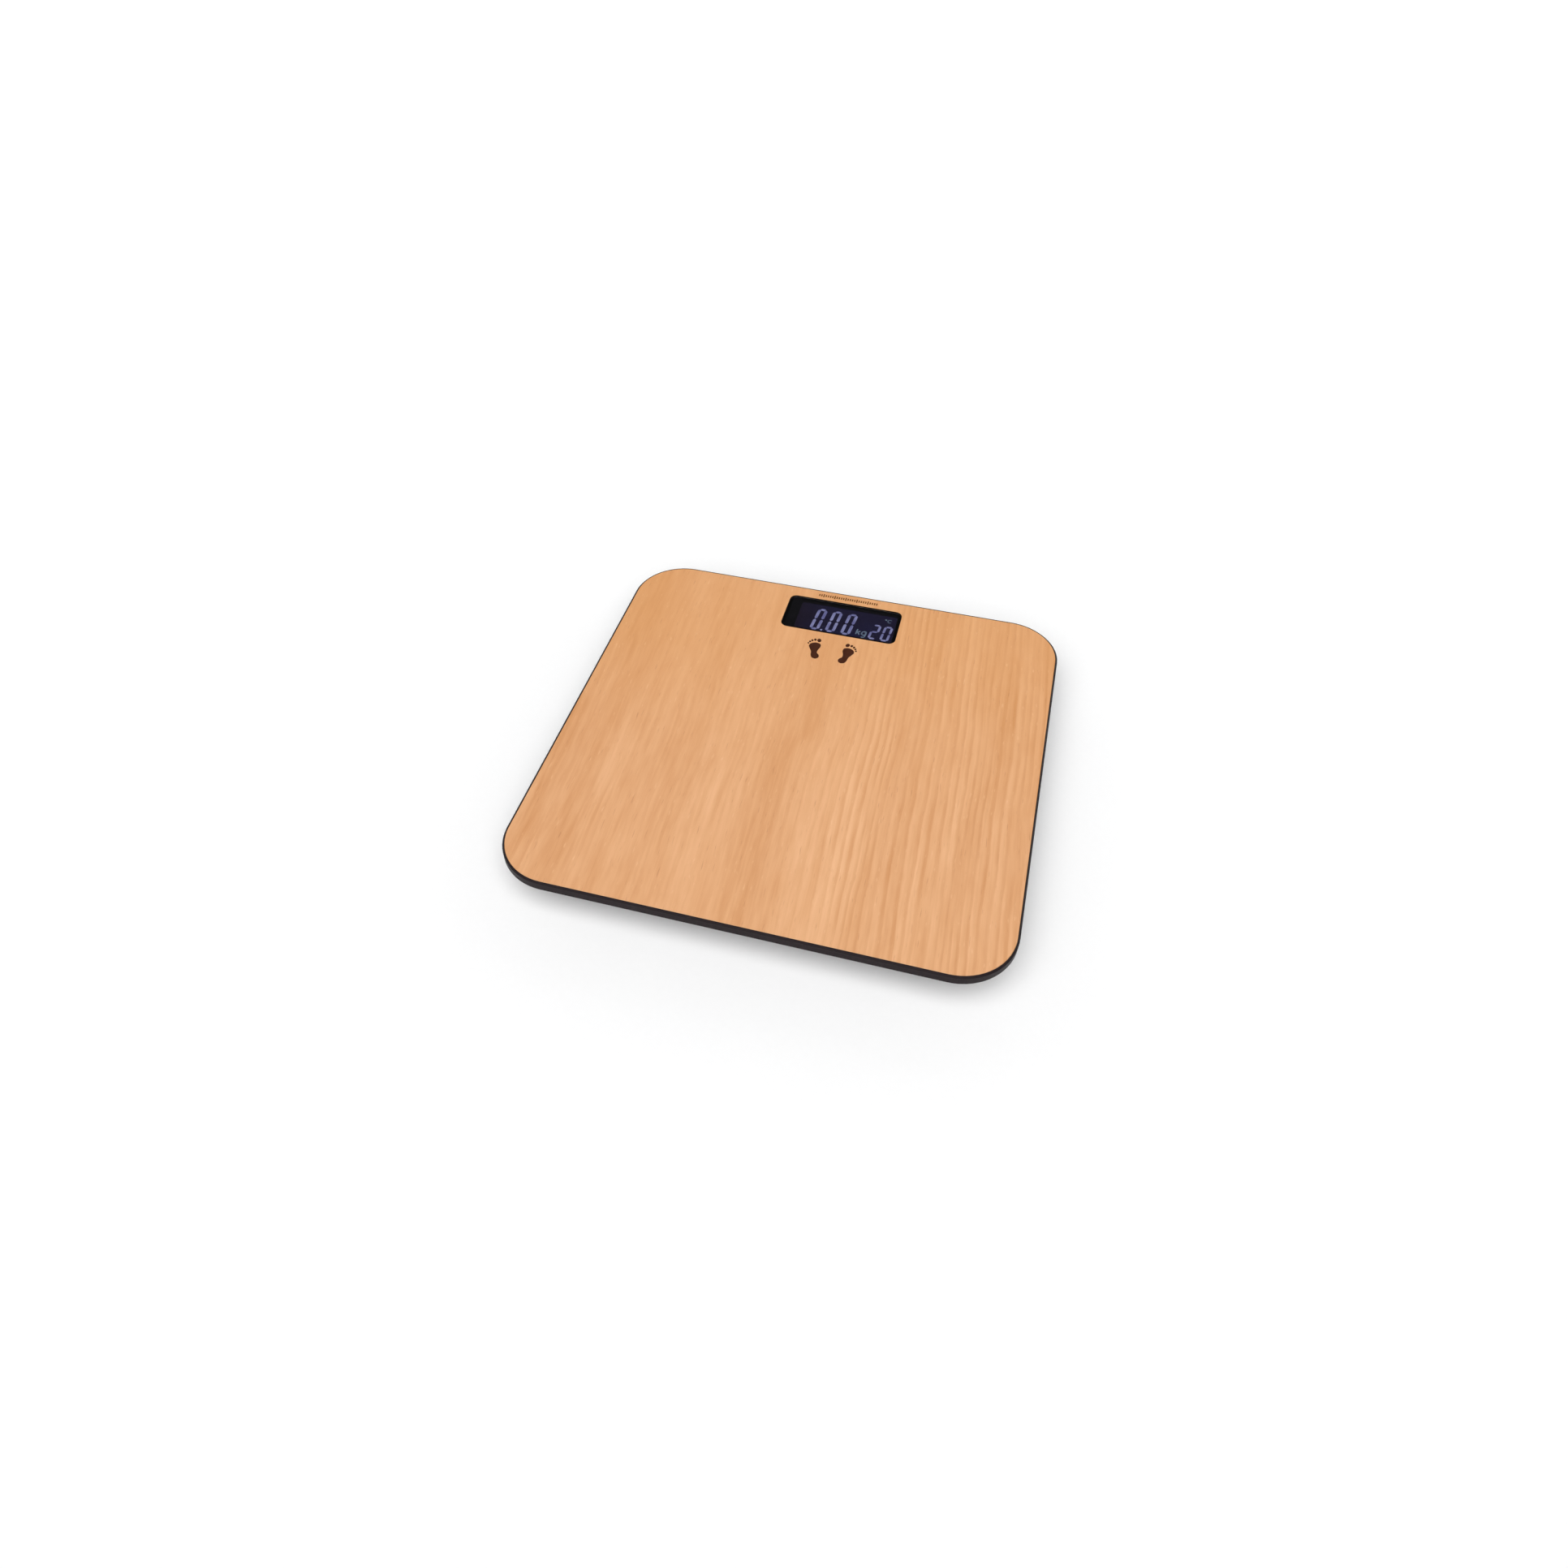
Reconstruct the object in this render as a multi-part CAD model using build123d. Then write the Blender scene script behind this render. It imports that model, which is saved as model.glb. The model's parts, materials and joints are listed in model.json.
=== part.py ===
from build123d import *
import os

# Digital bathroom scale: a square wood-decor deck in a thin dark edge, on four strain-gauge feet.
# Millimetres. The origin is on the floor under the middle of the platform, +Z is up, the user
# stands at -Y and reads the display near the +Y edge.

# ---- platform, from the floor up -----------------------------------------------------------
SIDE = 300.0  # square platform, over the rim
HEIGHT = 25.0  # floor to standing surface
CORNER_RADIUS = 34.5  # plan radius of the rim; every inner outline is concentric with it
HALF = SIDE / 2

DECK_THICKNESS = 3.9
DECK_SINK = 0.1  # the deck lies this much below the rim's upper edge
DECK_GAP = 0.1  # glue gap between the deck's edge and the rim
DECK_EDGE_RADIUS = 0.5
ADHESIVE_THICKNESS = 0.2
ADHESIVE_MARGIN = 3.0  # the adhesive sheet stops short of the chassis edge
SHEET = 1.2  # chassis steel

Z_DECK_TOP = HEIGHT - DECK_SINK
Z_DECK = Z_DECK_TOP - DECK_THICKNESS  # underside of the deck
Z_CHASSIS_TOP = Z_DECK - ADHESIVE_THICKNESS
Z_CHASSIS = Z_CHASSIS_TOP - SHEET  # underside of the chassis
Z_CHASSIS_FLANGE = 13.0  # lower edge of its turned-down flange
CHASSIS_HALF = 136.0
BEAD_DEPTH = 1.0  # stiffening beads pressed into the chassis
BEAD_WIDTH = 8.0
BEAD_LENGTH = 130.0
BEAD_CENTRE_Y = -25.0
BEAD_COLUMNS = (-45.0, -20.0, 20.0, 45.0)

# ---- rim frame -----------------------------------------------------------------------------
RIM_WALL = 1.2
RIM_HEIGHT = 6.0
RIM_CHAMFER = 1.1  # the rim slopes down from the deck's edge all round
RIM_SHELF_HALF = 136.3  # inner edge of the shelf under the deck
RIM_SHELF_THICKNESS = 1.0
RIM_SKIRT_WALL = 1.6  # skirt that locates the chassis flange
RIM_SKIRT_GAP = 0.4
RIM_SKIRT_DEPTH = 5.0
Z_RIM = HEIGHT - RIM_HEIGHT
Z_SHELF = Z_DECK - RIM_SHELF_THICKNESS

# ---- base cover ----------------------------------------------------------------------------
Z_COVER = 5.0  # underside
COVER_WALL = 2.0
COVER_FLOOR = Z_COVER + COVER_WALL  # upper face of the bottom plate
PARTING_GAP = 0.2
Z_COVER_RIM = Z_RIM - PARTING_GAP
COVER_TOP_HALF = 149.2
COVER_BASE_HALF = 128.0
COVER_TOP_HALF_INSIDE = 145.4
COVER_BASE_HALF_INSIDE = 127.4
COVER_BOTTOM_ROUND = 2.5
LIP_HALF = 148.4
LIP_WALL = 1.6
LIP_HEIGHT = 1.0
WELL_OUTER_RADIUS = 4.7
WELL_INNER_RADIUS = 3.2
RIB_THICKNESS = 1.2
RIB_HEIGHT = 2.5
RIB_COLUMNS = (-75.0, -37.5, 0.0, 37.5, 75.0)
RIB_ROWS = (-95.0, -60.0, -25.0, 10.0, 45.0)
LABEL_SIZE = (64.0, 38.0)
LABEL_CENTRE_Y = -60.0
LABEL_THICKNESS = 0.15
LABEL_RECESS = 0.3
VENT_LENGTH = 12.0
VENT_WIDTH = 1.2
VENT_PITCH = 3.0

# ---- screws --------------------------------------------------------------------------------
SCREW_RADIUS = 1.45
SCREW_HEAD_RADIUS = 2.8
SCREW_HEAD_HEIGHT = 2.0
SCREW_HOLE_RADIUS = 1.5
SCREW_TIP_ABOVE_CHASSIS = 1.0
RELIEF_RADIUS = 2.0  # blind holes in the deck's underside, over the screw tips
RELIEF_DEPTH = 1.2
COVER_SCREW_SITES = [(x, y) for x in (-66.0, 66.0) for y in (-118.0, 118.0)]
COVER_SCREW_SITES += [(x, y) for x in (-118.0, 118.0) for y in (-40.0, 40.0)]

# ---- feet and load cells, each modelled about its own foot centre ------------------------------
CORNERS = {"front_left": (-1, -1), "front_right": (1, -1), "back_left": (-1, 1), "back_right": (1, 1)}
FOOT_REACH = 104.0  # foot centre from the middle, along X and along Y
PAD_RADIUS = 18.0
PAD_THICKNESS = 2.6
PAD_RECESS = 1.0  # how deep the pad sits in its cup
PAD_GROOVE_RADII = (8.0, 13.0)
PAD_GROOVE_WIDTH = 1.2
PAD_GROOVE_DEPTH = 0.6
PAD_CHAMFER = 0.5
CUP_RADIUS = 20.5
CUP_WALL = 1.6
CUP_FLOOR = 2.0
CUP_TOP = 8.6
CUP_RIB_HEIGHT = 3.0
STEM_RADIUS = 5.5
PEG_RADIUS = 1.9
PEG_HEAD_RADIUS = 2.4
PEG_HEAD_HEIGHT = 0.8
PEG_HEAD_GAP = 0.1
PEG_SLOT = 0.9
FOOT_OPENING_RADIUS = 22.0
COLLAR_WALL = 2.0
COLLAR_HEIGHT = 4.0

CELL_LENGTH = 28.0  # along X, the way the tongue points
CELL_WIDTH = 30.0
CELL_THICKNESS = 2.0
CELL_TOP = 15.4
CELL_UNDER = CELL_TOP - CELL_THICKNESS
TONGUE_WIDTH = 12.0
TONGUE_FREE_END = 8.0
TONGUE_ROOT = -10.0
CELL_SLOT = 2.0
PEG_HOLE_RADIUS = 2.0
GAUGE_THICKNESS = 0.3
GAUGE_WIDTH = 6.0
GAUGE_START = -4.6
TERMINAL_START = -8.0
TERMINAL_END = -9.6
TERMINAL_HEIGHT = 1.6

HOUSING_RADIUS = 23.0
HOUSING_WALL = 2.0
HOUSING_FLOOR = 2.0
HOUSING_LOW = 11.8
Z_HOUSING = Z_CHASSIS - HOUSING_FLOOR
POST_SIZE = 3.0
POST_X = 12.2
POST_Y = 12.5
LUG_THICKNESS = 1.2
LUG_WIDTH = 8.0
LUG_REACH = 12.6
NOTCH_WIDTH = 6.0
NOTCH_HEIGHT = 2.0
EAR_REACH = 27.0  # housing screw from the foot centre, across the corner's diagonal
EAR_RADIUS = 5.0

# ---- display -------------------------------------------------------------------------------
WINDOW_CENTRE_Y = 121.7
WINDOW_OPENING = (81.0, 35.4)
WINDOW_RADIUS = 5.0
WINDOW_FIT = 0.15  # gap round the pane
WINDOW_THICKNESS = 2.0
WINDOW_SINK = 0.1  # the pane sits just below the deck's surface
COLLAR_FIT = 0.3  # gap between the carrier's collar and the deck's opening
Z_WINDOW = Z_DECK_TOP - WINDOW_SINK - WINDOW_THICKNESS
LCD_SIZE = (76.0, 30.0, 2.4)
LCD_FIT = 0.2
LCD_LEDGE = 20.2
BACKLIGHT_SIZE = (74.0, 24.6, 3.9)
CARRIER_OPENING = (74.6, 28.0)  # under the glass
CARRIER_FLANGE_TOP = 19.4
CARRIER_FLANGE = 1.8
CARRIER_FLANGE_X = 46.0
CARRIER_FLANGE_Y = (100.7, 142.0)
CARRIER_EAR_X = 54.0
CARRIER_EAR_LENGTH = 8.0
DISPLAY_SCREW_SITES = [(x, y) for x in (-50.0, 50.0) for y in (106.6, 130.0)]
ZEBRA_OFFSET = 13.15
ZEBRA_LENGTH = 70.0
ZEBRA_WIDTH = 1.5
CHASSIS_NOTCH_X = 41.0  # chassis, adhesive and rim are cut away for the carrier
CHASSIS_NOTCH_Y = (103.9, 139.6)
FLANGE_NOTCH_X = 55.0
FLANGE_NOTCH_Y = (134.2, 138.4)

# ---- circuit board ---------------------------------------------------------------------------
BOARD_X = 46.0
BOARD_Y = (94.0, 137.0)
BOARD_THICKNESS = 1.6
BOARD_TOP = 15.2
BOARD_UNDER = BOARD_TOP - BOARD_THICKNESS
BOARD_SCREW_SITES = [(x, y) for x in (-43.2, 43.2) for y in (104.5, 133.0)]
BOARD_SCREW_RADIUS = 1.0
BOARD_BOSS_RADIUS = 2.5
BOARD_SCREW_LENGTH = 4.6
CONNECTOR_SIZE = (6.4, 4.6, 3.2)
CONNECTOR_Y = 96.0  # front face, where the leads go in
CONNECTOR_X_FRONT = 24.0  # connectors for the front cells' leads
CONNECTOR_X_BACK = 36.0
BLOB_CENTRE = (-10.0, 113.0)
BLOB_RADIUS = 5.5
BLOB_HEIGHT = 1.4
BLOB_ROUND = 1.2
BACKLIGHT_PIN_RADIUS = 0.5
BACKLIGHT_PIN_INSET = 4.0
BOARD_SCREW_HEAD_RADIUS = 1.9
BOARD_SCREW_HEAD_HEIGHT = 1.3
SENSOR_CENTRE = (-38.0, 97.5)
SENSOR_BEAD_RADIUS = 1.3
SENSOR_DROP = 3.0
SENSOR_LEG_RADIUS = 0.25
SENSOR_LEG_OFFSET = 0.7

# ---- unit button -----------------------------------------------------------------------------
BUTTON_CENTRE = (30.0, 105.0)
BUTTON_RADIUS = 4.5
BUTTON_HOLE_RADIUS = 4.7
BUTTON_FLANGE_RADIUS = 6.0
BUTTON_LOW = 5.3
BUTTON_TOP = 9.3
BUTTON_FLANGE = (7.3, 8.3)
BUTTON_ROUND = 0.6
BUTTON_TRAVEL = 0.6
DISH_RADIUS = 8.0
DISH_DEPTH = 0.8
SWITCH_SIZE = 6.0
SWITCH_LOW = 10.2
PLUNGER_RADIUS = 1.75
PLUNGER_TOP = 12.0
PLUNGER_BORE_RADIUS = 1.85

# ---- battery bay -----------------------------------------------------------------------------
CELL_AXIS_Z = 12.1
CELL_AXES_Y = (64.1, 75.9)
AAA_RADIUS = 5.2
AAA_LENGTH = 44.5
AAA_NUB_RADIUS = 1.9
AAA_NUB = 0.9
AAA_ROUND = 0.5
BAY_X = 25.25
BAY_Y = (58.0, 82.0)
BAY_TOP = 17.6
BAY_ROOF = 19.0
BAY_WALL = 1.6
CONTACT_THICKNESS = 0.4
CONTACT_WIDTH = 9.0
CONTACT_Z = (8.0, 16.5)
TAB_WIDTH = 2.4
TAB_END_X = 28.6
SPRING_RADIUS = 2.6
SPRING_WIRE_RADIUS = 0.3
SPRING_TURNS = 4
DOOR_X = 28.5
DOOR_Y = (55.8, 83.1)
DOOR_THICKNESS = 1.6
DOOR_GAP = 0.4
HINGE_Y = 85.6
HINGE_Z = 6.6
HINGE_HALF = 24.0
BARREL_RADIUS = 1.6
BARREL_RECESS = 1.85
PIN_RADIUS = 0.9
PIN_BORE_RADIUS = 0.95
PIN_END = 26.5
LATCH_X = 4.0
LATCH_Y = (56.2, 57.0)
LATCH_TOP = 8.2
LATCH_SLIT = 0.8
LATCH_SLIT_LENGTH = 7.0

# ---- leads -----------------------------------------------------------------------------------
LEAD_RADIUS = 0.65
LEAD_PITCH = 1.5
LEAD_Z = 16.4
BATTERY_LEAD_Z = 12.9
LEAD_SHIFTS = {"red": -LEAD_PITCH, "black": 0.0, "white": LEAD_PITCH}
SOLDER_BLOCK_Y = 97.0
SOLDER_BLOCK = (1.6, 1.6, 1.4)
BATTERY_LEAD_X = {"red": 36.0, "black": 38.5}
CLIP_SIZE = (9.0, 6.0)
CLIP_LOW = 14.8
CLIP_CHANNEL = (5.4, 1.9)
CLIP_ROWS = (-60.0, 0.0, 60.0)
FRONT_RUN_X = 70.0
FRONT_RUN_Y = 86.0
FRONT_BENDS = (10.0, 20.0, 9.0)  # of the middle wire, as wide as the room allows
BACK_RUN_X = 62.0
BACK_RUN_Y = 91.0
BACK_BENDS = (6.0, 6.0, 4.5)

BEYOND = 1.0  # how far a cutter passes through the face that it opens


# ---- shared shapes ---------------------------------------------------------------------------
def slab(outline, z_low, z_high):
    """A flat plate of the given outline between two heights."""
    return Pos(0, 0, z_low) * extrude(outline, z_high - z_low)


def platform_outline(half_side):
    """A square with rounded corners, concentric with the rim."""
    return RectangleRounded(2 * half_side, 2 * half_side, CORNER_RADIUS - (HALF - half_side))


def platform_slab(half_side, z_low, z_high):
    return slab(platform_outline(half_side), z_low, z_high)


def block(x_range, y_range, z_range):
    """A box given by its limits along X, Y and Z."""
    sizes = [high - low for low, high in (x_range, y_range, z_range)]
    centre = [(low + high) / 2 for low, high in (x_range, y_range, z_range)]
    return Pos(*centre) * Box(*sizes)


def disc(radius, z_low, z_high, centre=(0.0, 0.0)):
    """An upright cylinder between two heights."""
    return Pos(*centre, (z_low + z_high) / 2) * Cylinder(radius, z_high - z_low)


def ring(outer_radius, inner_radius, z_low, z_high, centre=(0.0, 0.0)):
    outer = disc(outer_radius, z_low, z_high, centre)
    return outer - disc(inner_radius, z_low - BEYOND, z_high + BEYOND, centre)


def rod(radius, x_low, x_high, y, z):
    """A cylinder lying along X."""
    return Pos((x_low + x_high) / 2, y, z) * Rot(0, 90, 0) * Cylinder(radius, x_high - x_low)


def window_slab(size, radius, z_low, z_high):
    """A rounded rectangle in the display's place."""
    return Pos(0, WINDOW_CENTRE_Y, 0) * slab(RectangleRounded(*size, radius), z_low, z_high)


def display_block(length, depth, z_low, z_high, offset_y=0.0):
    """A box centred on the display."""
    return Pos(0, WINDOW_CENTRE_Y + offset_y, (z_low + z_high) / 2) * Box(length, depth, z_high - z_low)


def screw(site, radius, head_radius, z_head, head_height, z_tip):
    """A pan-head screw driven from below, with a cross recess in its head."""
    z_seat = z_head + head_height
    body = disc(head_radius, z_head, z_seat, site)
    body = chamfer(body.faces().sort_by(Axis.Z)[0].edges(), 0.25 * head_height)
    body += disc(radius, z_seat, z_tip, site)
    cross_length = 1.1 * head_radius
    cross_width = 0.22 * head_radius
    recess = Box(cross_length, cross_width, head_height) + Box(cross_width, cross_length, head_height)
    return body - Pos(*site, z_head) * recess


def chassis_screw(site, z_seat):
    """A screw whose head seats at z_seat and whose tip passes through the chassis."""
    z_head = z_seat - SCREW_HEAD_HEIGHT
    z_tip = Z_CHASSIS_TOP + SCREW_TIP_ABOVE_CHASSIS
    return screw(site, SCREW_RADIUS, SCREW_HEAD_RADIUS, z_head, SCREW_HEAD_HEIGHT, z_tip)


def at_corner(shape, side_x, side_y):
    """Move a piece modelled about the back-right foot centre to a corner, mirrored to suit it."""
    if side_x < 0:
        shape = mirror(shape, Plane.YZ)
    if side_y < 0:
        shape = mirror(shape, Plane.XZ)
    return Pos(side_x * FOOT_REACH, side_y * FOOT_REACH, 0) * shape


def housing_ear_centres():
    """The two housing screws, about a foot centre: they lie across the corner's diagonal."""
    reach = EAR_REACH / 2**0.5
    return [(-reach, reach), (reach, -reach)]


def housing_screw_sites():
    sites = []
    for side_x, side_y in CORNERS.values():
        for x, y in housing_ear_centres():
            sites.append((side_x * (FOOT_REACH + x), side_y * (FOOT_REACH + y)))
    return sites


def chassis_screw_sites():
    return COVER_SCREW_SITES + housing_screw_sites() + DISPLAY_SCREW_SITES


# ---- deck, chassis and rim -------------------------------------------------------------------
def deck_panel():
    """Wood-decor board with the window cut-out and blind reliefs over the screw tips."""
    panel = platform_slab(HALF - RIM_WALL - DECK_GAP, Z_DECK, Z_DECK_TOP)
    panel = fillet(panel.faces().sort_by(Axis.Z)[-1].edges(), DECK_EDGE_RADIUS)
    panel -= window_slab(WINDOW_OPENING, WINDOW_RADIUS, Z_DECK - BEYOND, Z_DECK_TOP + BEYOND)
    for site in chassis_screw_sites():
        panel -= disc(RELIEF_RADIUS, Z_DECK - BEYOND, Z_DECK + RELIEF_DEPTH, site)
    return panel


def display_notch(z_low, z_high):
    """The space that the display carrier takes out of the chassis, its adhesive and the rim."""
    return block((-CHASSIS_NOTCH_X, CHASSIS_NOTCH_X), CHASSIS_NOTCH_Y, (z_low, z_high))


def flange_notch(z_low, z_high):
    """The space over the circuit board, where the chassis flange and rim skirt stop."""
    return block((-FLANGE_NOTCH_X, FLANGE_NOTCH_X), FLANGE_NOTCH_Y, (z_low, z_high))


def deck_adhesive():
    sheet = platform_slab(CHASSIS_HALF - ADHESIVE_MARGIN, Z_CHASSIS_TOP, Z_DECK)
    sheet -= display_notch(Z_CHASSIS_TOP - BEYOND, Z_DECK + BEYOND)
    for site in chassis_screw_sites():
        sheet -= disc(RELIEF_RADIUS, Z_CHASSIS_TOP - BEYOND, Z_DECK + BEYOND, site)
    return sheet


def chassis_plate():
    """Pressed steel pan: flat top, turned-down flange, stiffening beads and pierced holes."""
    pan = platform_slab(CHASSIS_HALF, Z_CHASSIS_FLANGE, Z_CHASSIS_TOP)
    pan = fillet(pan.faces().sort_by(Axis.Z)[-1].edges(), SHEET)
    pan -= platform_slab(CHASSIS_HALF - SHEET, Z_CHASSIS_FLANGE - BEYOND, Z_CHASSIS)
    for x in BEAD_COLUMNS:
        outside = Rot(0, 0, 90) * SlotOverall(BEAD_LENGTH + 2 * SHEET, BEAD_WIDTH + 2 * SHEET)
        inside = Rot(0, 0, 90) * SlotOverall(BEAD_LENGTH, BEAD_WIDTH)
        pan += Pos(x, BEAD_CENTRE_Y, 0) * slab(outside, Z_CHASSIS - BEAD_DEPTH, Z_CHASSIS)
        pan -= Pos(x, BEAD_CENTRE_Y, 0) * slab(inside, Z_CHASSIS_TOP - BEAD_DEPTH, Z_CHASSIS_TOP)
    pan -= display_notch(Z_CHASSIS_FLANGE - BEYOND, Z_CHASSIS_TOP + BEYOND)
    pan -= flange_notch(Z_CHASSIS_FLANGE - BEYOND, Z_CHASSIS)
    for site in chassis_screw_sites():
        pan -= disc(SCREW_HOLE_RADIUS, Z_CHASSIS - BEYOND, Z_CHASSIS_TOP + BEYOND, site)
    return pan


def rim_frame():
    """Dark edge: wall round the deck, shelf under it, and skirt round the chassis flange."""
    frame = platform_slab(HALF, Z_RIM, HEIGHT)
    frame = chamfer(frame.faces().sort_by(Axis.Z)[-1].edges(), RIM_CHAMFER)
    frame -= platform_slab(HALF - RIM_WALL, Z_DECK, HEIGHT + BEYOND)
    frame -= platform_slab(HALF - RIM_WALL, Z_RIM - BEYOND, Z_SHELF)
    skirt_inside = CHASSIS_HALF + RIM_SKIRT_GAP
    frame += platform_slab(skirt_inside + RIM_SKIRT_WALL, Z_SHELF - RIM_SKIRT_DEPTH, Z_SHELF)
    frame -= platform_slab(skirt_inside, Z_SHELF - RIM_SKIRT_DEPTH - BEYOND, Z_SHELF)
    frame -= platform_slab(RIM_SHELF_HALF, Z_SHELF - BEYOND, HEIGHT)
    frame -= display_notch(Z_SHELF, Z_DECK + BEYOND)
    frame -= flange_notch(Z_SHELF - RIM_SKIRT_DEPTH - BEYOND, Z_SHELF)
    return frame


# ---- base cover ------------------------------------------------------------------------------
def tapered_body(low_half, z_low, top_half, z_top):
    """A solid between two rounded squares of different size."""
    low = Pos(0, 0, z_low) * platform_outline(low_half)
    top = Pos(0, 0, z_top) * platform_outline(top_half)
    return loft([low, top], ruled=True)


def cover_ribs():
    """Low grid of stiffening ribs on the bottom plate."""
    ribs = []
    half = RIB_THICKNESS / 2
    z_range = (COVER_FLOOR, COVER_FLOOR + RIB_HEIGHT)
    for x in RIB_COLUMNS:
        ribs.append(block((x - half, x + half), (RIB_ROWS[0] - half, RIB_ROWS[-1] + half), z_range))
    for y in RIB_ROWS:
        ribs.append(block((RIB_COLUMNS[0], RIB_COLUMNS[-1]), (y - half, y + half), z_range))
    return ribs


def cover_with_battery_bay(cover):
    """Add the battery bay's box, the door's recess, the hinge pad and the latch slot."""
    wall_x = BAY_X + BAY_WALL
    wall_y = (BAY_Y[0] - BAY_WALL, BAY_Y[1] + BAY_WALL)
    frame_x = DOOR_X + DOOR_GAP + BAY_WALL
    recess_roof = HINGE_Z + 0.5 * DOOR_GAP
    hinge_back = HINGE_Y + BARREL_RECESS
    hinge_front = HINGE_Y - BARREL_RADIUS
    hinge_top = HINGE_Z + BARREL_RECESS
    pin_bore_end = PIN_END + 0.5 * DOOR_GAP
    cover += block((-wall_x, wall_x), wall_y, (Z_COVER, BAY_ROOF))
    cover += block((-frame_x, frame_x), (DOOR_Y[0] - 2 * BAY_WALL, hinge_back + BAY_WALL),
                   (Z_COVER, recess_roof + BAY_WALL))
    cover += block((-frame_x, frame_x), (BAY_Y[1], hinge_back + BAY_WALL), (Z_COVER, hinge_top + BAY_WALL))
    cover -= block((-BAY_X, BAY_X), BAY_Y, (Z_COVER - BEYOND, BAY_TOP))
    cover -= block((-DOOR_X - DOOR_GAP, DOOR_X + DOOR_GAP), (DOOR_Y[0] - DOOR_GAP, hinge_front),
                   (Z_COVER - BEYOND, recess_roof))
    hinge_x = HINGE_HALF + 0.5 * DOOR_GAP
    cover -= block((-hinge_x, hinge_x), (hinge_front - BEYOND, hinge_back), (Z_COVER - BEYOND, HINGE_Z))
    cover -= rod(BARREL_RECESS, -hinge_x, hinge_x, HINGE_Y, HINGE_Z)
    cover -= rod(PIN_BORE_RADIUS, -pin_bore_end, pin_bore_end, HINGE_Y, HINGE_Z)
    cover -= block((-LATCH_X - DOOR_GAP, LATCH_X + DOOR_GAP), (LATCH_Y[0] - DOOR_GAP, LATCH_Y[1] + DOOR_GAP),
                   (Z_COVER, LATCH_TOP + DOOR_GAP))
    finger = Pos(0, DOOR_Y[0] - DOOR_GAP, Z_COVER) * Sphere(LATCH_X)
    cover -= finger & block((-SIDE, SIDE), (0, DOOR_Y[0]), (0, COVER_FLOOR - 0.5 * COVER_WALL))
    tab_room = TAB_WIDTH / 2 + 0.5 * DOOR_GAP
    for y in CELL_AXES_Y:
        cover -= block((BAY_X - BEYOND, wall_x + BEYOND), (y - tab_room, y + tab_room),
                       (BATTERY_LEAD_Z - DOOR_GAP, BATTERY_LEAD_Z + DOOR_GAP))
    return cover


def cover_screw_well(cover, site):
    """A deep well that carries a screw up to the chassis, open from below."""
    z_seat = Z_CHASSIS - COVER_WALL
    cover += disc(WELL_OUTER_RADIUS, Z_COVER, Z_CHASSIS, site)
    cover -= disc(WELL_INNER_RADIUS, Z_COVER - BEYOND, z_seat, site)
    return cover - disc(SCREW_HOLE_RADIUS + PARTING_GAP, z_seat - BEYOND, Z_CHASSIS + BEYOND, site)


def base_cover():
    """Undercut black tray with foot openings, screw wells, the battery bay and the button hole."""
    outside = tapered_body(COVER_BASE_HALF, Z_COVER, COVER_TOP_HALF, Z_COVER_RIM)
    outside = fillet(outside.faces().sort_by(Axis.Z)[0].edges(), COVER_BOTTOM_ROUND)
    inside = tapered_body(COVER_BASE_HALF_INSIDE, COVER_FLOOR, COVER_TOP_HALF_INSIDE, Z_COVER_RIM)
    cover = outside - inside
    lip = platform_slab(LIP_HALF, Z_COVER_RIM - LIP_HEIGHT, Z_COVER_RIM + LIP_HEIGHT)
    lip -= platform_slab(LIP_HALF - LIP_WALL, Z_COVER_RIM - 2 * LIP_HEIGHT, Z_COVER_RIM + 2 * LIP_HEIGHT)
    cover += lip & platform_slab(LIP_HALF, Z_COVER_RIM, Z_COVER_RIM + LIP_HEIGHT)
    for rib in cover_ribs():
        cover += rib
    collar_top = COVER_FLOOR + COLLAR_HEIGHT
    for side_x, side_y in CORNERS.values():
        centre = (side_x * FOOT_REACH, side_y * FOOT_REACH)
        cover += disc(FOOT_OPENING_RADIUS + COLLAR_WALL, Z_COVER + COVER_WALL / 2, collar_top, centre)
        cover -= disc(FOOT_OPENING_RADIUS, Z_COVER - BEYOND, collar_top + BEYOND, centre)
    cover = cover_with_battery_bay(cover)
    for site in COVER_SCREW_SITES:
        cover = cover_screw_well(cover, site)
    cover -= disc(BUTTON_HOLE_RADIUS, Z_COVER - BEYOND, COVER_FLOOR + BEYOND, BUTTON_CENTRE)
    cover -= disc(DISH_RADIUS, Z_COVER - BEYOND, Z_COVER + DISH_DEPTH, BUTTON_CENTRE)
    for row in (-1, 0, 1):
        slot = SlotOverall(VENT_LENGTH, VENT_WIDTH)
        slot = slab(slot, Z_COVER - BEYOND, COVER_FLOOR + BEYOND)
        cover -= Pos(SENSOR_CENTRE[0], SENSOR_CENTRE[1] + row * VENT_PITCH, 0) * slot
    cover -= label_plate(Z_COVER - BEYOND, Z_COVER + LABEL_RECESS, PARTING_GAP)
    return cover


def label_plate(z_low, z_high, margin=0.0):
    """The label's rectangle, or its recess when a margin is given."""
    outline = RectangleRounded(LABEL_SIZE[0] + 2 * margin, LABEL_SIZE[1] + 2 * margin, 1.5 + margin)
    return Pos(0, LABEL_CENTRE_Y, 0) * slab(outline, z_low, z_high)


def rating_label():
    return label_plate(Z_COVER + LABEL_RECESS - LABEL_THICKNESS, Z_COVER + LABEL_RECESS)


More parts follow.
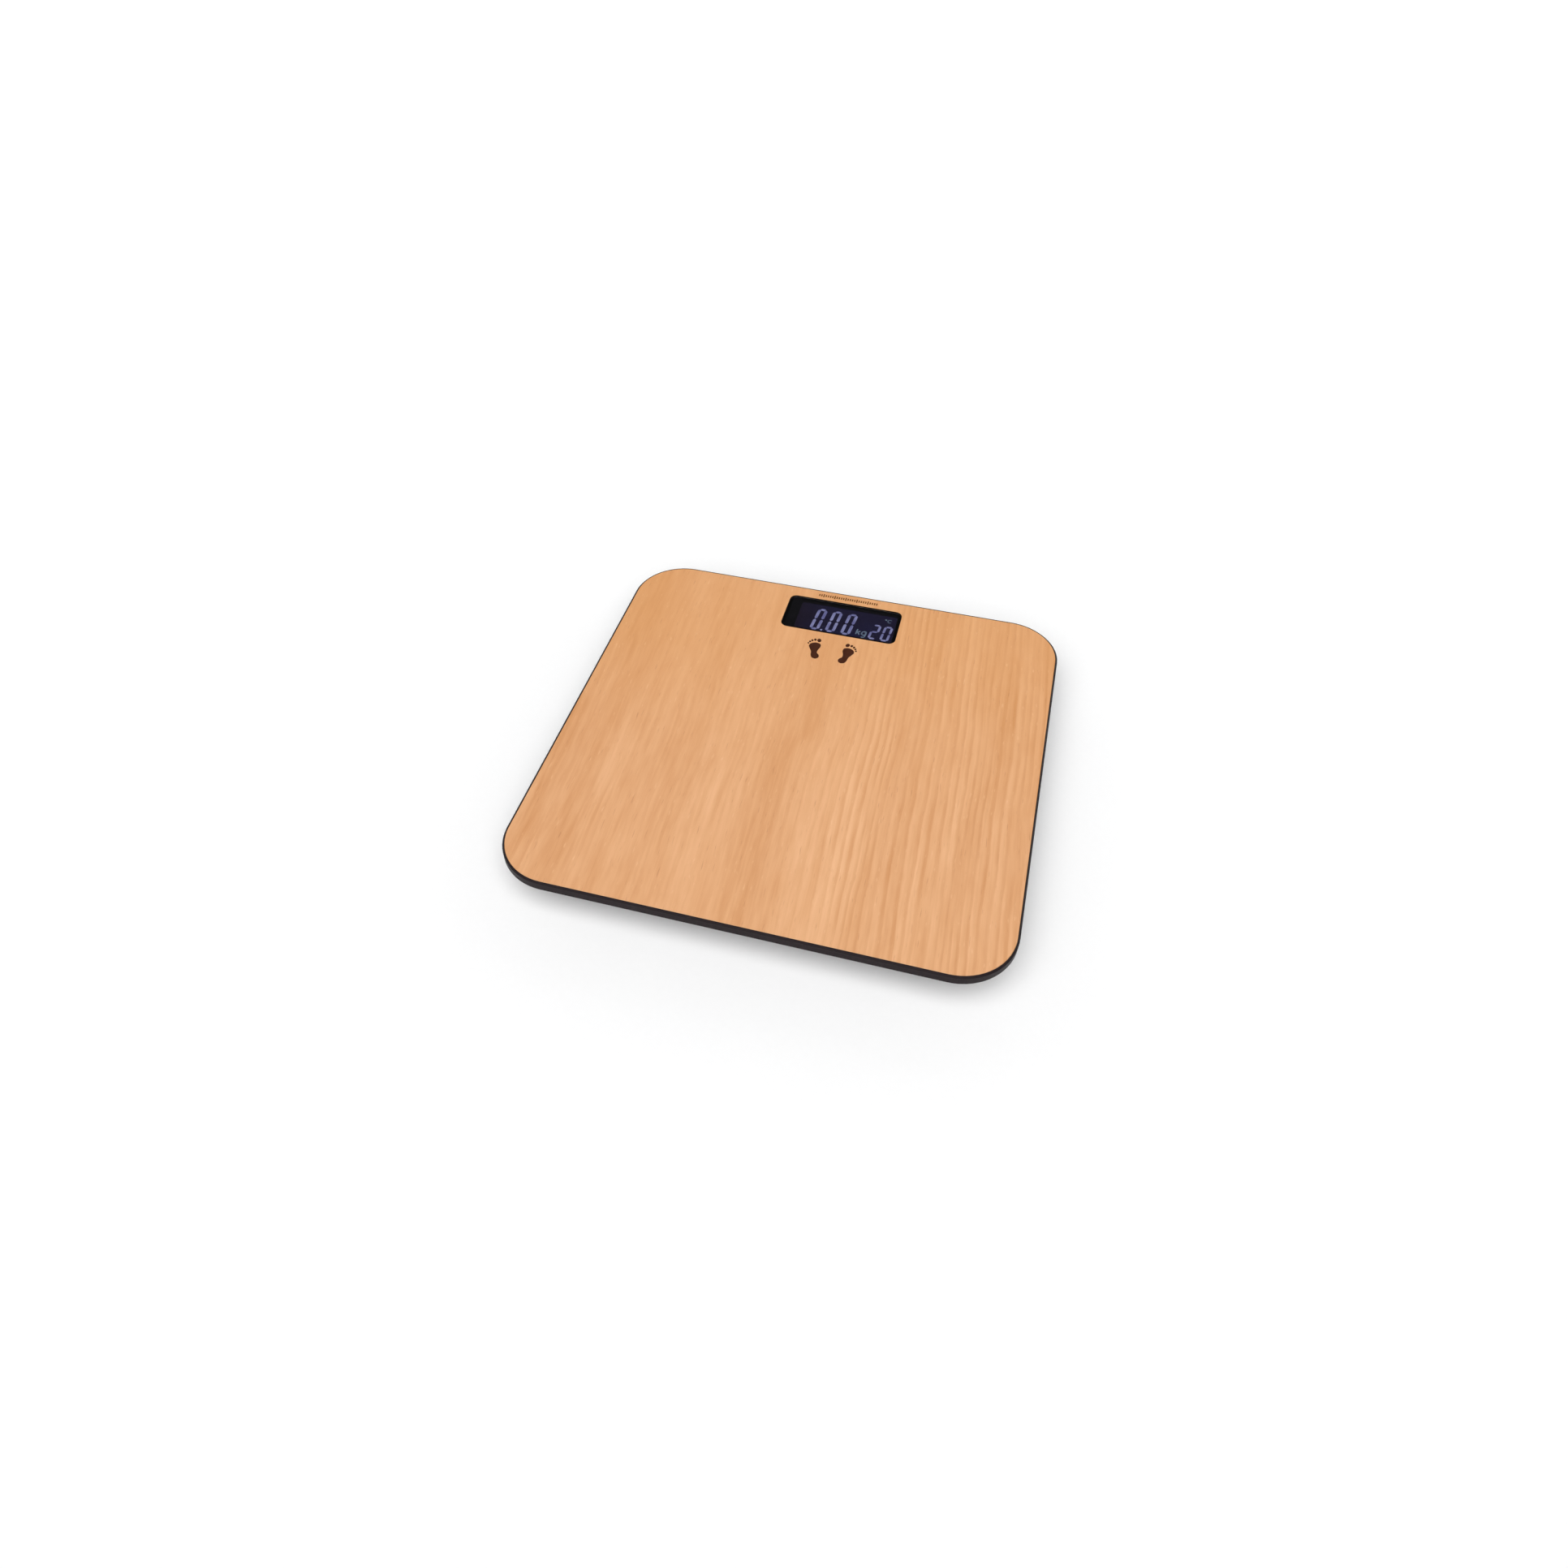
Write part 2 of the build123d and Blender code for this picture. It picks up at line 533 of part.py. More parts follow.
# ---- foot, load cell and housing, about the back-right foot centre -------------------------------
def foot_pad():
    """Rubber disc with two ring grooves in its tread."""
    pad = disc(PAD_RADIUS, 0, PAD_THICKNESS)
    pad = chamfer(pad.faces().sort_by(Axis.Z)[0].edges(), PAD_CHAMFER)
    for radius in PAD_GROOVE_RADII:
        pad -= ring(radius + PAD_GROOVE_WIDTH / 2, radius - PAD_GROOVE_WIDTH / 2, 0, PAD_GROOVE_DEPTH)
    return pad


def foot_cup():
    """Ribbed cup over the pad, with a stem under the cell's tongue and a split snap peg through it."""
    z_rim = PAD_THICKNESS - PAD_RECESS
    z_floor = PAD_THICKNESS + CUP_FLOOR
    cup = disc(CUP_RADIUS, z_rim, CUP_TOP)
    cup = chamfer(cup.faces().sort_by(Axis.Z)[0].edges(), PAD_CHAMFER)
    cup -= disc(CUP_RADIUS - CUP_WALL, z_floor, CUP_TOP + BEYOND)
    cup -= disc(PAD_RADIUS + DECK_GAP, z_rim - BEYOND, PAD_THICKNESS)
    spoke_length = 2 * CUP_RADIUS - CUP_WALL
    spoke_z = (z_floor, z_floor + CUP_RIB_HEIGHT)
    half_rib = RIB_THICKNESS / 2
    for angle in (0, 60, 120):
        spoke = block((-spoke_length / 2, spoke_length / 2), (-half_rib, half_rib), spoke_z)
        cup += Rot(0, 0, angle) * spoke
    z_head = CELL_TOP + PEG_HEAD_GAP
    cup += disc(STEM_RADIUS, z_floor, CELL_UNDER)
    cup += disc(PEG_RADIUS, CELL_UNDER, z_head)
    head = disc(PEG_HEAD_RADIUS, z_head, z_head + PEG_HEAD_HEIGHT)
    cup += chamfer(head.faces().sort_by(Axis.Z)[-1].edges(), PEG_HEAD_HEIGHT / 2)
    slot_z = (CELL_UNDER + PEG_HEAD_HEIGHT, z_head + PEG_HEAD_HEIGHT + BEYOND)
    cup -= block((-PEG_SLOT / 2, PEG_SLOT / 2), (-STEM_RADIUS, STEM_RADIUS), slot_z)
    return cup


def load_cell():
    """Steel plate with a U-shaped slot that frees a bending tongue, rooted on its inner side."""
    plate = RectangleRounded(CELL_LENGTH, CELL_WIDTH, 2.0)
    cell = slab(plate, CELL_UNDER, CELL_TOP)
    half_tongue = TONGUE_WIDTH / 2
    through = (CELL_UNDER - BEYOND, CELL_TOP + BEYOND)
    around = block((TONGUE_ROOT, TONGUE_FREE_END + CELL_SLOT),
                   (-half_tongue - CELL_SLOT, half_tongue + CELL_SLOT), through)
    tongue = block((TONGUE_ROOT - BEYOND, TONGUE_FREE_END), (-half_tongue, half_tongue), through)
    cell -= around - tongue
    return cell - disc(PEG_HOLE_RADIUS, CELL_UNDER - BEYOND, CELL_TOP + BEYOND)


def strain_gauge():
    """Foil patch on the tongue's root, with the terminal strip that the leads are soldered to."""
    half = GAUGE_WIDTH / 2
    patch = block((TERMINAL_END, GAUGE_START), (-half, half), (CELL_TOP, CELL_TOP + GAUGE_THICKNESS))
    strip = block((TERMINAL_END, TERMINAL_START), (-half, half), (CELL_TOP, CELL_TOP + TERMINAL_HEIGHT))
    return patch + strip


def cell_housing():
    """Bracket that holds the cell's outer frame under the chassis, with two screw ears."""
    inner = HOUSING_RADIUS - HOUSING_WALL
    housing = disc(HOUSING_RADIUS, Z_HOUSING, Z_CHASSIS)
    housing += ring(HOUSING_RADIUS, inner, HOUSING_LOW, Z_HOUSING)
    half_post = POST_SIZE / 2
    for side_x in (-1, 1):
        for side_y in (-1, 1):
            x = side_x * POST_X
            y = side_y * POST_Y
            housing += block((x - half_post, x + half_post), (y - half_post, y + half_post),
                             (CELL_TOP, Z_HOUSING))
    lug = block((LUG_REACH, inner + HOUSING_WALL / 2), (-LUG_WIDTH / 2, LUG_WIDTH / 2),
                (CELL_UNDER - LUG_THICKNESS, CELL_UNDER))
    for angle in (0, 90, 180, 270):
        housing += Rot(0, 0, angle) * lug
    for x, y in housing_ear_centres():
        arm = Pos(x / 2, y / 2, Z_CHASSIS - HOUSING_FLOOR / 2) * Rot(0, 0, -45) * Box(
            EAR_REACH, 2 * EAR_RADIUS, HOUSING_FLOOR)
        housing += arm + disc(EAR_RADIUS, Z_HOUSING, Z_CHASSIS, (x, y))
        housing -= disc(SCREW_HOLE_RADIUS + PARTING_GAP, Z_HOUSING - BEYOND, Z_CHASSIS + BEYOND, (x, y))
    housing -= block((-HOUSING_RADIUS - BEYOND, -inner + BEYOND), (-NOTCH_WIDTH / 2, NOTCH_WIDTH / 2),
                     (Z_HOUSING - NOTCH_HEIGHT, Z_HOUSING))
    return housing


# ---- display and circuit board -------------------------------------------------------------------
def display_window():
    """Smoked pane that closes the deck's cut-out."""
    size = [length - 2 * WINDOW_FIT for length in WINDOW_OPENING]
    return window_slab(size, WINDOW_RADIUS - WINDOW_FIT, Z_WINDOW, Z_WINDOW + WINDOW_THICKNESS)


def display_carrier():
    """Frame that holds the glass, the backlight and the board, screwed under the chassis."""
    size = [length - 2 * COLLAR_FIT for length in WINDOW_OPENING]
    carrier = window_slab(size, WINDOW_RADIUS - COLLAR_FIT, BOARD_TOP, Z_WINDOW)
    flange_z = (CARRIER_FLANGE_TOP - CARRIER_FLANGE, CARRIER_FLANGE_TOP)
    carrier += block((-CARRIER_FLANGE_X, CARRIER_FLANGE_X), CARRIER_FLANGE_Y, flange_z)
    for x, y in DISPLAY_SCREW_SITES:
        side = 1 if x > 0 else -1
        ear_x = sorted((side * (CARRIER_FLANGE_X - BEYOND), side * CARRIER_EAR_X))
        carrier += block(ear_x, (y - CARRIER_EAR_LENGTH / 2, y + CARRIER_EAR_LENGTH / 2), flange_z)
        carrier -= disc(SCREW_HOLE_RADIUS + PARTING_GAP, flange_z[0] - BEYOND, flange_z[1] + BEYOND, (x, y))
    pilot_top = BOARD_UNDER + BOARD_SCREW_LENGTH + PARTING_GAP
    for site in BOARD_SCREW_SITES:
        carrier += disc(BOARD_BOSS_RADIUS, BOARD_TOP, flange_z[0], site)
        carrier -= disc(BOARD_SCREW_RADIUS, BOARD_TOP - BEYOND, pilot_top, site)
    carrier -= display_block(*CARRIER_OPENING, BOARD_TOP - BEYOND, LCD_LEDGE + BEYOND)
    glass_length = LCD_SIZE[0] + 2 * LCD_FIT
    glass_depth = LCD_SIZE[1] + 2 * LCD_FIT
    return carrier - display_block(glass_length, glass_depth, LCD_LEDGE, Z_WINDOW + BEYOND)


def lcd_glass():
    return display_block(LCD_SIZE[0], LCD_SIZE[1], LCD_LEDGE, LCD_LEDGE + LCD_SIZE[2])


def lcd_backlight():
    """Light guide behind the glass, standing on four pins."""
    length, depth, thickness = BACKLIGHT_SIZE
    guide_low = LCD_LEDGE - DECK_GAP - thickness
    guide = display_block(length, depth, guide_low, LCD_LEDGE - DECK_GAP)
    pin_reach = length / 2 - BACKLIGHT_PIN_INSET
    for x in (-pin_reach, pin_reach):
        for y in (-depth / 4, depth / 4):
            guide += disc(BACKLIGHT_PIN_RADIUS, BOARD_TOP, guide_low, (x, WINDOW_CENTRE_Y + y))
    return guide


def zebra_strips():
    """Two conductive rubber strips between the board and the glass."""
    return Compound(children=[
        display_block(ZEBRA_LENGTH, ZEBRA_WIDTH, BOARD_TOP, LCD_LEDGE, side * ZEBRA_OFFSET)
        for side in (-1, 1)
    ])


def main_board():
    board = block((-BOARD_X, BOARD_X), BOARD_Y, (BOARD_UNDER, BOARD_TOP))
    for site in BOARD_SCREW_SITES:
        board -= disc(BOARD_SCREW_RADIUS + DECK_GAP, BOARD_UNDER - BEYOND, BOARD_TOP + BEYOND, site)
    return board


def controller_blob():
    """Black potting dome over the bare chip, on the board's underside."""
    blob = disc(BLOB_RADIUS, BOARD_UNDER - BLOB_HEIGHT, BOARD_UNDER, BLOB_CENTRE)
    return fillet(blob.faces().sort_by(Axis.Z)[0].edges(), BLOB_ROUND)


def board_components():
    """Chips, resistors and capacitors on the board's underside, and the battery solder blocks."""
    outlines = {  # centre x, centre y: length, width, height
        (8.0, 112.0): (10.0, 6.0, 1.7),
        (8.0, 122.0): (6.0, 3.2, 1.6),
        (-26.0, 108.0): (3.2, 1.6, 0.9),
        (-26.0, 112.0): (3.2, 1.6, 0.9),
        (-26.0, 116.0): (3.2, 1.6, 0.9),
        (-10.0, 126.0): (8.0, 3.0, 2.4),
        (20.0, 116.0): (1.6, 3.2, 0.9),
        (24.0, 116.0): (1.6, 3.2, 0.9),
    }
    pieces = []
    for (x, y), (length, width, height) in outlines.items():
        pieces.append(Pos(x, y, BOARD_UNDER - height / 2) * Box(length, width, height))
    length, width, height = SOLDER_BLOCK
    for x in BATTERY_LEAD_X.values():
        centre = (x, SOLDER_BLOCK_Y + width / 2, BOARD_UNDER - height / 2)
        pieces.append(Pos(*centre) * Box(length, width, height))
    return Compound(children=pieces)


def lead_connectors():
    """Four sockets on the board's top face, one for each cell's three leads."""
    length, depth, height = CONNECTOR_SIZE
    sockets = []
    for x in (-CONNECTOR_X_BACK, -CONNECTOR_X_FRONT, CONNECTOR_X_FRONT, CONNECTOR_X_BACK):
        sockets.append(block((x - length / 2, x + length / 2), (CONNECTOR_Y, CONNECTOR_Y + depth),
                             (BOARD_TOP, BOARD_TOP + height)))
    return Compound(children=sockets)


def temperature_sensor():
    """Bead thermistor on two legs, over the vents."""
    x, y = SENSOR_CENTRE
    z_bead = BOARD_UNDER - SENSOR_DROP
    sensor = Pos(x, y, z_bead) * Sphere(SENSOR_BEAD_RADIUS)
    for side in (-1, 1):
        sensor += disc(SENSOR_LEG_RADIUS, z_bead, BOARD_UNDER, (x + side * SENSOR_LEG_OFFSET, y))
    return sensor


# ---- unit button ---------------------------------------------------------------------------------
def unit_switch():
    half = SWITCH_SIZE / 2
    x, y = BUTTON_CENTRE
    body = block((x - half, x + half), (y - half, y + half), (SWITCH_LOW, BOARD_UNDER))
    bore_top = PLUNGER_TOP + BUTTON_TRAVEL + PARTING_GAP
    return body - disc(PLUNGER_BORE_RADIUS, SWITCH_LOW - BEYOND, bore_top, BUTTON_CENTRE)


def switch_plunger():
    return disc(PLUNGER_RADIUS, BUTTON_TOP, PLUNGER_TOP, BUTTON_CENTRE)


def unit_button_cap():
    """Round cap in the underside, kept in by its flange."""
    cap = disc(BUTTON_RADIUS, BUTTON_LOW, BUTTON_TOP, BUTTON_CENTRE)
    cap = fillet(cap.faces().sort_by(Axis.Z)[0].edges(), BUTTON_ROUND)
    return cap + disc(BUTTON_FLANGE_RADIUS, *BUTTON_FLANGE, BUTTON_CENTRE)


# ---- batteries -----------------------------------------------------------------------------------
def aaa_cell(y, nub_side):
    """AAA cell along X whose positive nub points towards nub_side."""
    nub_face = nub_side * (BAY_X - CONTACT_THICKNESS)
    shoulder = nub_face - nub_side * AAA_NUB
    tail = nub_face - nub_side * AAA_LENGTH
    can = rod(AAA_RADIUS, *sorted((shoulder, tail)), y, CELL_AXIS_Z)
    can = fillet(can.edges().filter_by(GeomType.CIRCLE), AAA_ROUND)
    return can + rod(AAA_NUB_RADIUS, *sorted((shoulder, nub_face)), y, CELL_AXIS_Z)


def contact_plates():
    """The two end contacts, with solder tabs through the bay's wall."""
    plates = []
    half_tab = TAB_WIDTH / 2
    half_sheet = CONTACT_THICKNESS / 2
    for y in CELL_AXES_Y:
        plate = block((BAY_X - CONTACT_THICKNESS, BAY_X),
                      (y - CONTACT_WIDTH / 2, y + CONTACT_WIDTH / 2), CONTACT_Z)
        plate += block((BAY_X - CONTACT_THICKNESS, TAB_END_X), (y - half_tab, y + half_tab),
                       (BATTERY_LEAD_Z - half_sheet, BATTERY_LEAD_Z + half_sheet))
        plates.append(plate)
    return Compound(children=plates)


def series_bridge():
    """One plate across both cells at the other end."""
    y_range = (CELL_AXES_Y[0] - CONTACT_WIDTH / 2, CELL_AXES_Y[1] + CONTACT_WIDTH / 2)
    return block((-BAY_X, -BAY_X + CONTACT_THICKNESS), y_range, CONTACT_Z)


def contact_spring(y, side):
    """Coil spring between a cell's flat end and its contact, on the bay's side."""
    space = 2 * BAY_X - 2 * CONTACT_THICKNESS - AAA_LENGTH
    height = space - 4 * SPRING_WIRE_RADIUS
    coil = Helix(pitch=height / SPRING_TURNS, height=height, radius=SPRING_RADIUS)
    section = Plane(origin=coil @ 0, z_dir=coil % 0) * Circle(SPRING_WIRE_RADIUS)
    wire = sweep(section, path=coil, is_frenet=True)
    x_start = side * (BAY_X - CONTACT_THICKNESS - 2 * SPRING_WIRE_RADIUS)
    return Pos(x_start, y, CELL_AXIS_Z) * Rot(0, -90 * side, 0) * wire


def contact_springs():
    return Compound(children=[contact_spring(CELL_AXES_Y[0], 1), contact_spring(CELL_AXES_Y[1], -1)])


def battery_door():
    """Hinged lid with a barrel, two stub pins and a slotted latch."""
    z_range = (Z_COVER, Z_COVER + DOOR_THICKNESS)
    door = block((-DOOR_X, DOOR_X), DOOR_Y, z_range)
    door += block((-HINGE_HALF, HINGE_HALF), (DOOR_Y[1], HINGE_Y), z_range)
    door += rod(BARREL_RADIUS, -HINGE_HALF, HINGE_HALF, HINGE_Y, HINGE_Z)
    door += rod(PIN_RADIUS, -PIN_END, PIN_END, HINGE_Y, HINGE_Z)
    door += block((-LATCH_X, LATCH_X), LATCH_Y, (Z_COVER, LATCH_TOP))
    for side in (-1, 1):
        slit_x = sorted((side * (LATCH_X + LATCH_SLIT), side * (LATCH_X + 2 * LATCH_SLIT)))
        door -= block(slit_x, (DOOR_Y[0] - BEYOND, DOOR_Y[0] + LATCH_SLIT_LENGTH),
                      (Z_COVER - BEYOND, z_range[1] + BEYOND))
    return door


# ---- leads ---------------------------------------------------------------------------------------
def lead(corners, bends, shift, z):
    """One round wire along a right-angled route, moved sideways (to its left) by shift."""
    legs = [(Vector(*end) - Vector(*start)).normalized() for start, end in zip(corners, corners[1:])]
    lefts = [leg.rotate(Axis.Z, 90) * shift for leg in legs]
    points = [Vector(*corners[0]) + lefts[0]]
    radii = []
    for place, (corner, bend) in enumerate(zip(corners[1:-1], bends)):
        points.append(Vector(*corner) + lefts[place] + lefts[place + 1])
        turn = legs[place].cross(legs[place + 1]).Z
        radii.append(bend - turn * shift)
    points.append(Vector(*corners[-1]) + lefts[-1])
    path = Pos(0, 0, z) * FilletPolyline(*points, radius=radii)
    section = Plane(origin=path @ 0, z_dir=path % 0) * Circle(LEAD_RADIUS)
    return sweep(section, path=path)


def front_cell_route():
    """From the front-right cell, up the side of the battery bay, to its socket."""
    return [
        (FOOT_REACH + TERMINAL_END, -FOOT_REACH),
        (FRONT_RUN_X, -FOOT_REACH),
        (FRONT_RUN_X, FRONT_RUN_Y),
        (CONNECTOR_X_FRONT, FRONT_RUN_Y),
        (CONNECTOR_X_FRONT, CONNECTOR_Y),
    ]


def back_cell_route():
    """From the back-right cell, round the carrier's ears, to its socket."""
    return [
        (FOOT_REACH + TERMINAL_END, FOOT_REACH),
        (BACK_RUN_X, FOOT_REACH),
        (BACK_RUN_X, BACK_RUN_Y),
        (CONNECTOR_X_BACK, BACK_RUN_Y),
        (CONNECTOR_X_BACK, CONNECTOR_Y),
    ]


def sensor_leads(shift):
    """The wires of one colour, one from each of the four cells."""
    right = [
        lead(front_cell_route(), FRONT_BENDS, shift, LEAD_Z),
        lead(back_cell_route(), BACK_BENDS, shift, LEAD_Z),
    ]
    return Compound(children=right + [mirror(wire, Plane.YZ) for wire in right])


def battery_lead(colour, y):
    x = BATTERY_LEAD_X[colour]
    bend = x - TAB_END_X - BEYOND
    return lead([(TAB_END_X, y), (x, y), (x, SOLDER_BLOCK_Y)], [bend], 0.0, BATTERY_LEAD_Z)


def cable_clips():
    """Adhesive saddles that hold the front leads up under the chassis."""
    width, length = CLIP_SIZE
    channel_width, channel_height = CLIP_CHANNEL
    clips = []
    for side in (-1, 1):
        for y in CLIP_ROWS:
            x = side * FRONT_RUN_X
            clip_x = (x - width / 2, x + width / 2)
            clip = block(clip_x, (y - length / 2, y + length / 2), (CLIP_LOW, Z_CHASSIS))
            clip -= block((x - channel_width / 2, x + channel_width / 2), (y - length, y + length),
                          (LEAD_Z - channel_height / 2, LEAD_Z + channel_height / 2))
            clips.append(clip)
    return Compound(children=clips)


def board_screws():
    z_head = BOARD_UNDER - BOARD_SCREW_HEAD_HEIGHT
    z_tip = BOARD_UNDER + BOARD_SCREW_LENGTH
    return Compound(children=[
        screw(site, BOARD_SCREW_RADIUS, BOARD_SCREW_HEAD_RADIUS, z_head, BOARD_SCREW_HEAD_HEIGHT, z_tip)
        for site in BOARD_SCREW_SITES
    ])


def chassis_screws(sites, z_seat):
    return Compound(children=[chassis_screw(site, z_seat) for site in sites])


# ---- write every node ------------------------------------------------------------------------
def write(node, shape):
    export_step(shape, f"parts/{node}.step")


os.makedirs("parts", exist_ok=True)
write("deck_panel", deck_panel())
write("deck_adhesive", deck_adhesive())
write("chassis_plate", chassis_plate())
write("rim_frame", rim_frame())
write("base_cover", base_cover())
write("rating_label", rating_label())

for corner, (side_x, side_y) in CORNERS.items():
    write(f"foot_pad_{corner}", at_corner(foot_pad(), side_x, side_y))
    write(f"foot_cup_{corner}", at_corner(foot_cup(), side_x, side_y))
    write(f"load_cell_{corner}", at_corner(load_cell(), side_x, side_y))
    write(f"cell_housing_{corner}", at_corner(cell_housing(), side_x, side_y))
write("strain_gauges", Compound(children=[at_corner(strain_gauge(), *sides) for sides in CORNERS.values()]))

write("display_window", display_window())
write("display_carrier", display_carrier())
write("lcd_glass", lcd_glass())
write("lcd_backlight", lcd_backlight())
write("zebra_strips", zebra_strips())
write("main_board", main_board())
write("controller_blob", controller_blob())
write("board_components", board_components())
write("lead_connectors", lead_connectors())
write("temperature_sensor", temperature_sensor())

write("unit_switch", unit_switch())
write("switch_plunger", switch_plunger())
write("unit_button_cap", unit_button_cap())

write("aaa_cell_1", aaa_cell(CELL_AXES_Y[0], -1))
write("aaa_cell_2", aaa_cell(CELL_AXES_Y[1], 1))
write("contact_plates", contact_plates())
write("series_bridge", series_bridge())
write("contact_springs", contact_springs())
write("battery_door", battery_door())

for colour, shift in LEAD_SHIFTS.items():
    write(f"sensor_leads_{colour}", sensor_leads(shift))
write("battery_lead_red", battery_lead("red", CELL_AXES_Y[1]))
write("battery_lead_black", battery_lead("black", CELL_AXES_Y[0]))
write("cable_clips", cable_clips())

write("cover_screws", chassis_screws(COVER_SCREW_SITES, Z_CHASSIS - COVER_WALL))
write("housing_screws", chassis_screws(housing_screw_sites(), Z_HOUSING))
write("display_screws", chassis_screws(DISPLAY_SCREW_SITES, CARRIER_FLANGE_TOP - CARRIER_FLANGE))
write("board_screws", board_screws())
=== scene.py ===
import json
import math
import bmesh
import bpy
from mathutils import Matrix, Vector


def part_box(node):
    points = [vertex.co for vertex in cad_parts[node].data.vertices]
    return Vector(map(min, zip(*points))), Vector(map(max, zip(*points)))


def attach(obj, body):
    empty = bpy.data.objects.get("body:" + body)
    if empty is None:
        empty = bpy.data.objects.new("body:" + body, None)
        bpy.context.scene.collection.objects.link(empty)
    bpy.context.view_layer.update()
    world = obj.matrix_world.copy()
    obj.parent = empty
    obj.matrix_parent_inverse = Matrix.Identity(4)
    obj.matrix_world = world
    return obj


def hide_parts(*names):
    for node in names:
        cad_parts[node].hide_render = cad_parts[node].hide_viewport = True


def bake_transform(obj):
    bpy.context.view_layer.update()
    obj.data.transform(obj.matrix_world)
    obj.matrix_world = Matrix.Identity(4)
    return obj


# Looks of the digital bathroom scale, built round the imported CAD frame. Metres, CAD frame:
# the floor is z = 0, the display is near +Y and the user stands at -Y. The constants of the
# load cells, the display, the prints and the grip are in millimetres unless they carry MM.

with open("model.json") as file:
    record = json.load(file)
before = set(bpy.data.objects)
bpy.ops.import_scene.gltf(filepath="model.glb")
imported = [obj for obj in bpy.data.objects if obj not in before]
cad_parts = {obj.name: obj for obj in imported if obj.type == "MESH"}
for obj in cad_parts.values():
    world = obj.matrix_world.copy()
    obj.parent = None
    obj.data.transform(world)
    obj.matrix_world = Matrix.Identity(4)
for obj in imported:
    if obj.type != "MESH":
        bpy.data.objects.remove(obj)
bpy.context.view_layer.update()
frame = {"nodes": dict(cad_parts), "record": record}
MM = 0.001

# ---- camera ------------------------------------------------------------------------------------
CAMERA_AZIMUTH = math.radians(15.27)  # to the right of the user who stands at -Y
CAMERA_ELEVATION = math.radians(47.87)
CAMERA_DISTANCE = 0.6755
CAMERA_AIM_OFFSET = (-0.0199, -0.0458)  # from the middle of the deck, in X and Y
CAMERA_LENS = 25.51
CAMERA_SENSOR = 36.0
CAMERA_SHIFT_X = 0.0207
CAMERA_CLIP = (0.01, 50.0)

# ---- studio ------------------------------------------------------------------------------------
FLOOR_DROP = 0.05 * MM
BACKDROP_RADIUS = 4.0
BACKDROP_CORE = 0.6  # radius of the flat disc in the middle
BACKDROP_BEND = 1.2
BACKDROP_HEIGHT = 2.4
BACKDROP_STEPS = 64
BACKDROP_BEND_STEPS = 12
SKY = (0.97, 0.98, 1.0, 1.0)
SKY_STRENGTH = 0.07
DAYLIGHT_FROM = (0.0, -0.62, 1.0)  # a wide, soft overhead light that reaches the whole floor evenly
DAYLIGHT_WIDTH = math.radians(85)
DAYLIGHT_STRENGTH = 3.3
UNDER_LIGHT = ((0.0, 0.0, -1.4), 0.26, 17.0)  # place, width, power in watts; narrow, so it misses the rim

# ---- load cells --------------------------------------------------------------------------------
# about the foot's centre; X grows outwards, the way the tongue points
CORNERS = ("front_left", "front_right", "back_left", "back_right")
CELL_CORNER = 2.0
TONGUE_ENDS = (-10.0, 8.0)
TONGUE_HALF_WIDTH = 6.0
TONGUE_SLOT = 2.0
TONGUE_BEND = (-8.0, -5.5)  # between the gauge's terminals and the foot's stem
TONGUE_CUTS = 12
PEG_HOLE = 2.0
GAUGE_HALF_WIDTH = 3.0
GAUGE_FILM = ((-8.0, -4.6), 0.3)  # reach and thickness
GAUGE_TERMINALS = ((-9.6, -8.0), 1.6)
CUT_CORNER = 0.1  # of stamped openings and of the gauge

# ---- batteries ---------------------------------------------------------------------------------
CELL_NUB = 0.9 * MM
SLEEVE_END = (0.7 * MM, 0.9 * MM)  # the printed sleeve fades out between these distances from each end

# ---- display -----------------------------------------------------------------------------------
MASK_OPENING = ((-31.0, 37.8), (106.6, 134.2))  # X and Y
MASK_CORNERS = (4.5, 1.2)  # radii of its outer and inner outlines
MASK_MARGIN = 0.3
MASK_GAP = 0.01  # below the pane
INK = 0.03  # thickness of every printed layer
INK_LIFT = 0.004  # of the deck's prints above the deck
DIGIT_LEVELS = (0.005, 0.04)  # above the glass
SLANT = 0.095  # sideways lean of the numerals for each unit of height
WEIGHT_DIGITS = {"height": 23.4, "width": 6.9, "stroke": 2.1, "pitch": 10.95, "left": -20.4, "base": 107.1}
TEMPERATURE_DIGITS = {"height": 16.2, "width": 6.2, "stroke": 1.7, "pitch": 8.3, "left": 20.9, "base": 107.3}
SEGMENTS_OF = {"0": "abcdef", "2": "abdeg"}
DECIMAL_POINT = (1.9, 0.9, 0.8)  # to the right of the first numeral, above its base, radius
WEIGHT_UNIT = {"left": 12.0, "base": 109.4, "stroke": 1.05}
TEMPERATURE_UNIT = {"left": 28.0, "base": 127.3, "stroke": 0.6}
# polylines of the unit symbols, from the lower left corner
LETTER_K = [[(0.4, 0.3), (0.4, 6.2)], [(2.9, 4.4), (0.6, 2.4)], [(1.2, 2.9), (3.0, 0.3)]]
LETTER_G = [
    [(7.2, 4.4), (4.6, 4.4), (4.2, 3.4), (4.2, 1.6), (4.6, 0.7), (7.0, 0.7)],
    [(7.0, 4.4), (7.0, -1.2), (6.6, -1.7), (4.5, -1.7)],
]
LETTER_C = [[(6.0, 2.9), (5.4, 3.4), (4.2, 3.4), (3.6, 2.8), (3.6, 0.9), (4.2, 0.3), (5.4, 0.3), (6.0, 0.8)]]
DEGREE = [[(2.4, 3.3), (1.6, 3.3), (1.6, 2.5), (2.4, 2.5), (2.4, 3.3)]]
GLOW_LEFT = (-35.0 * MM, -12.0 * MM)  # X over which the backlight rises
GLOW_RIGHT = (45.0 * MM, 34.0 * MM)  # X over which it falls again, from dark to bright

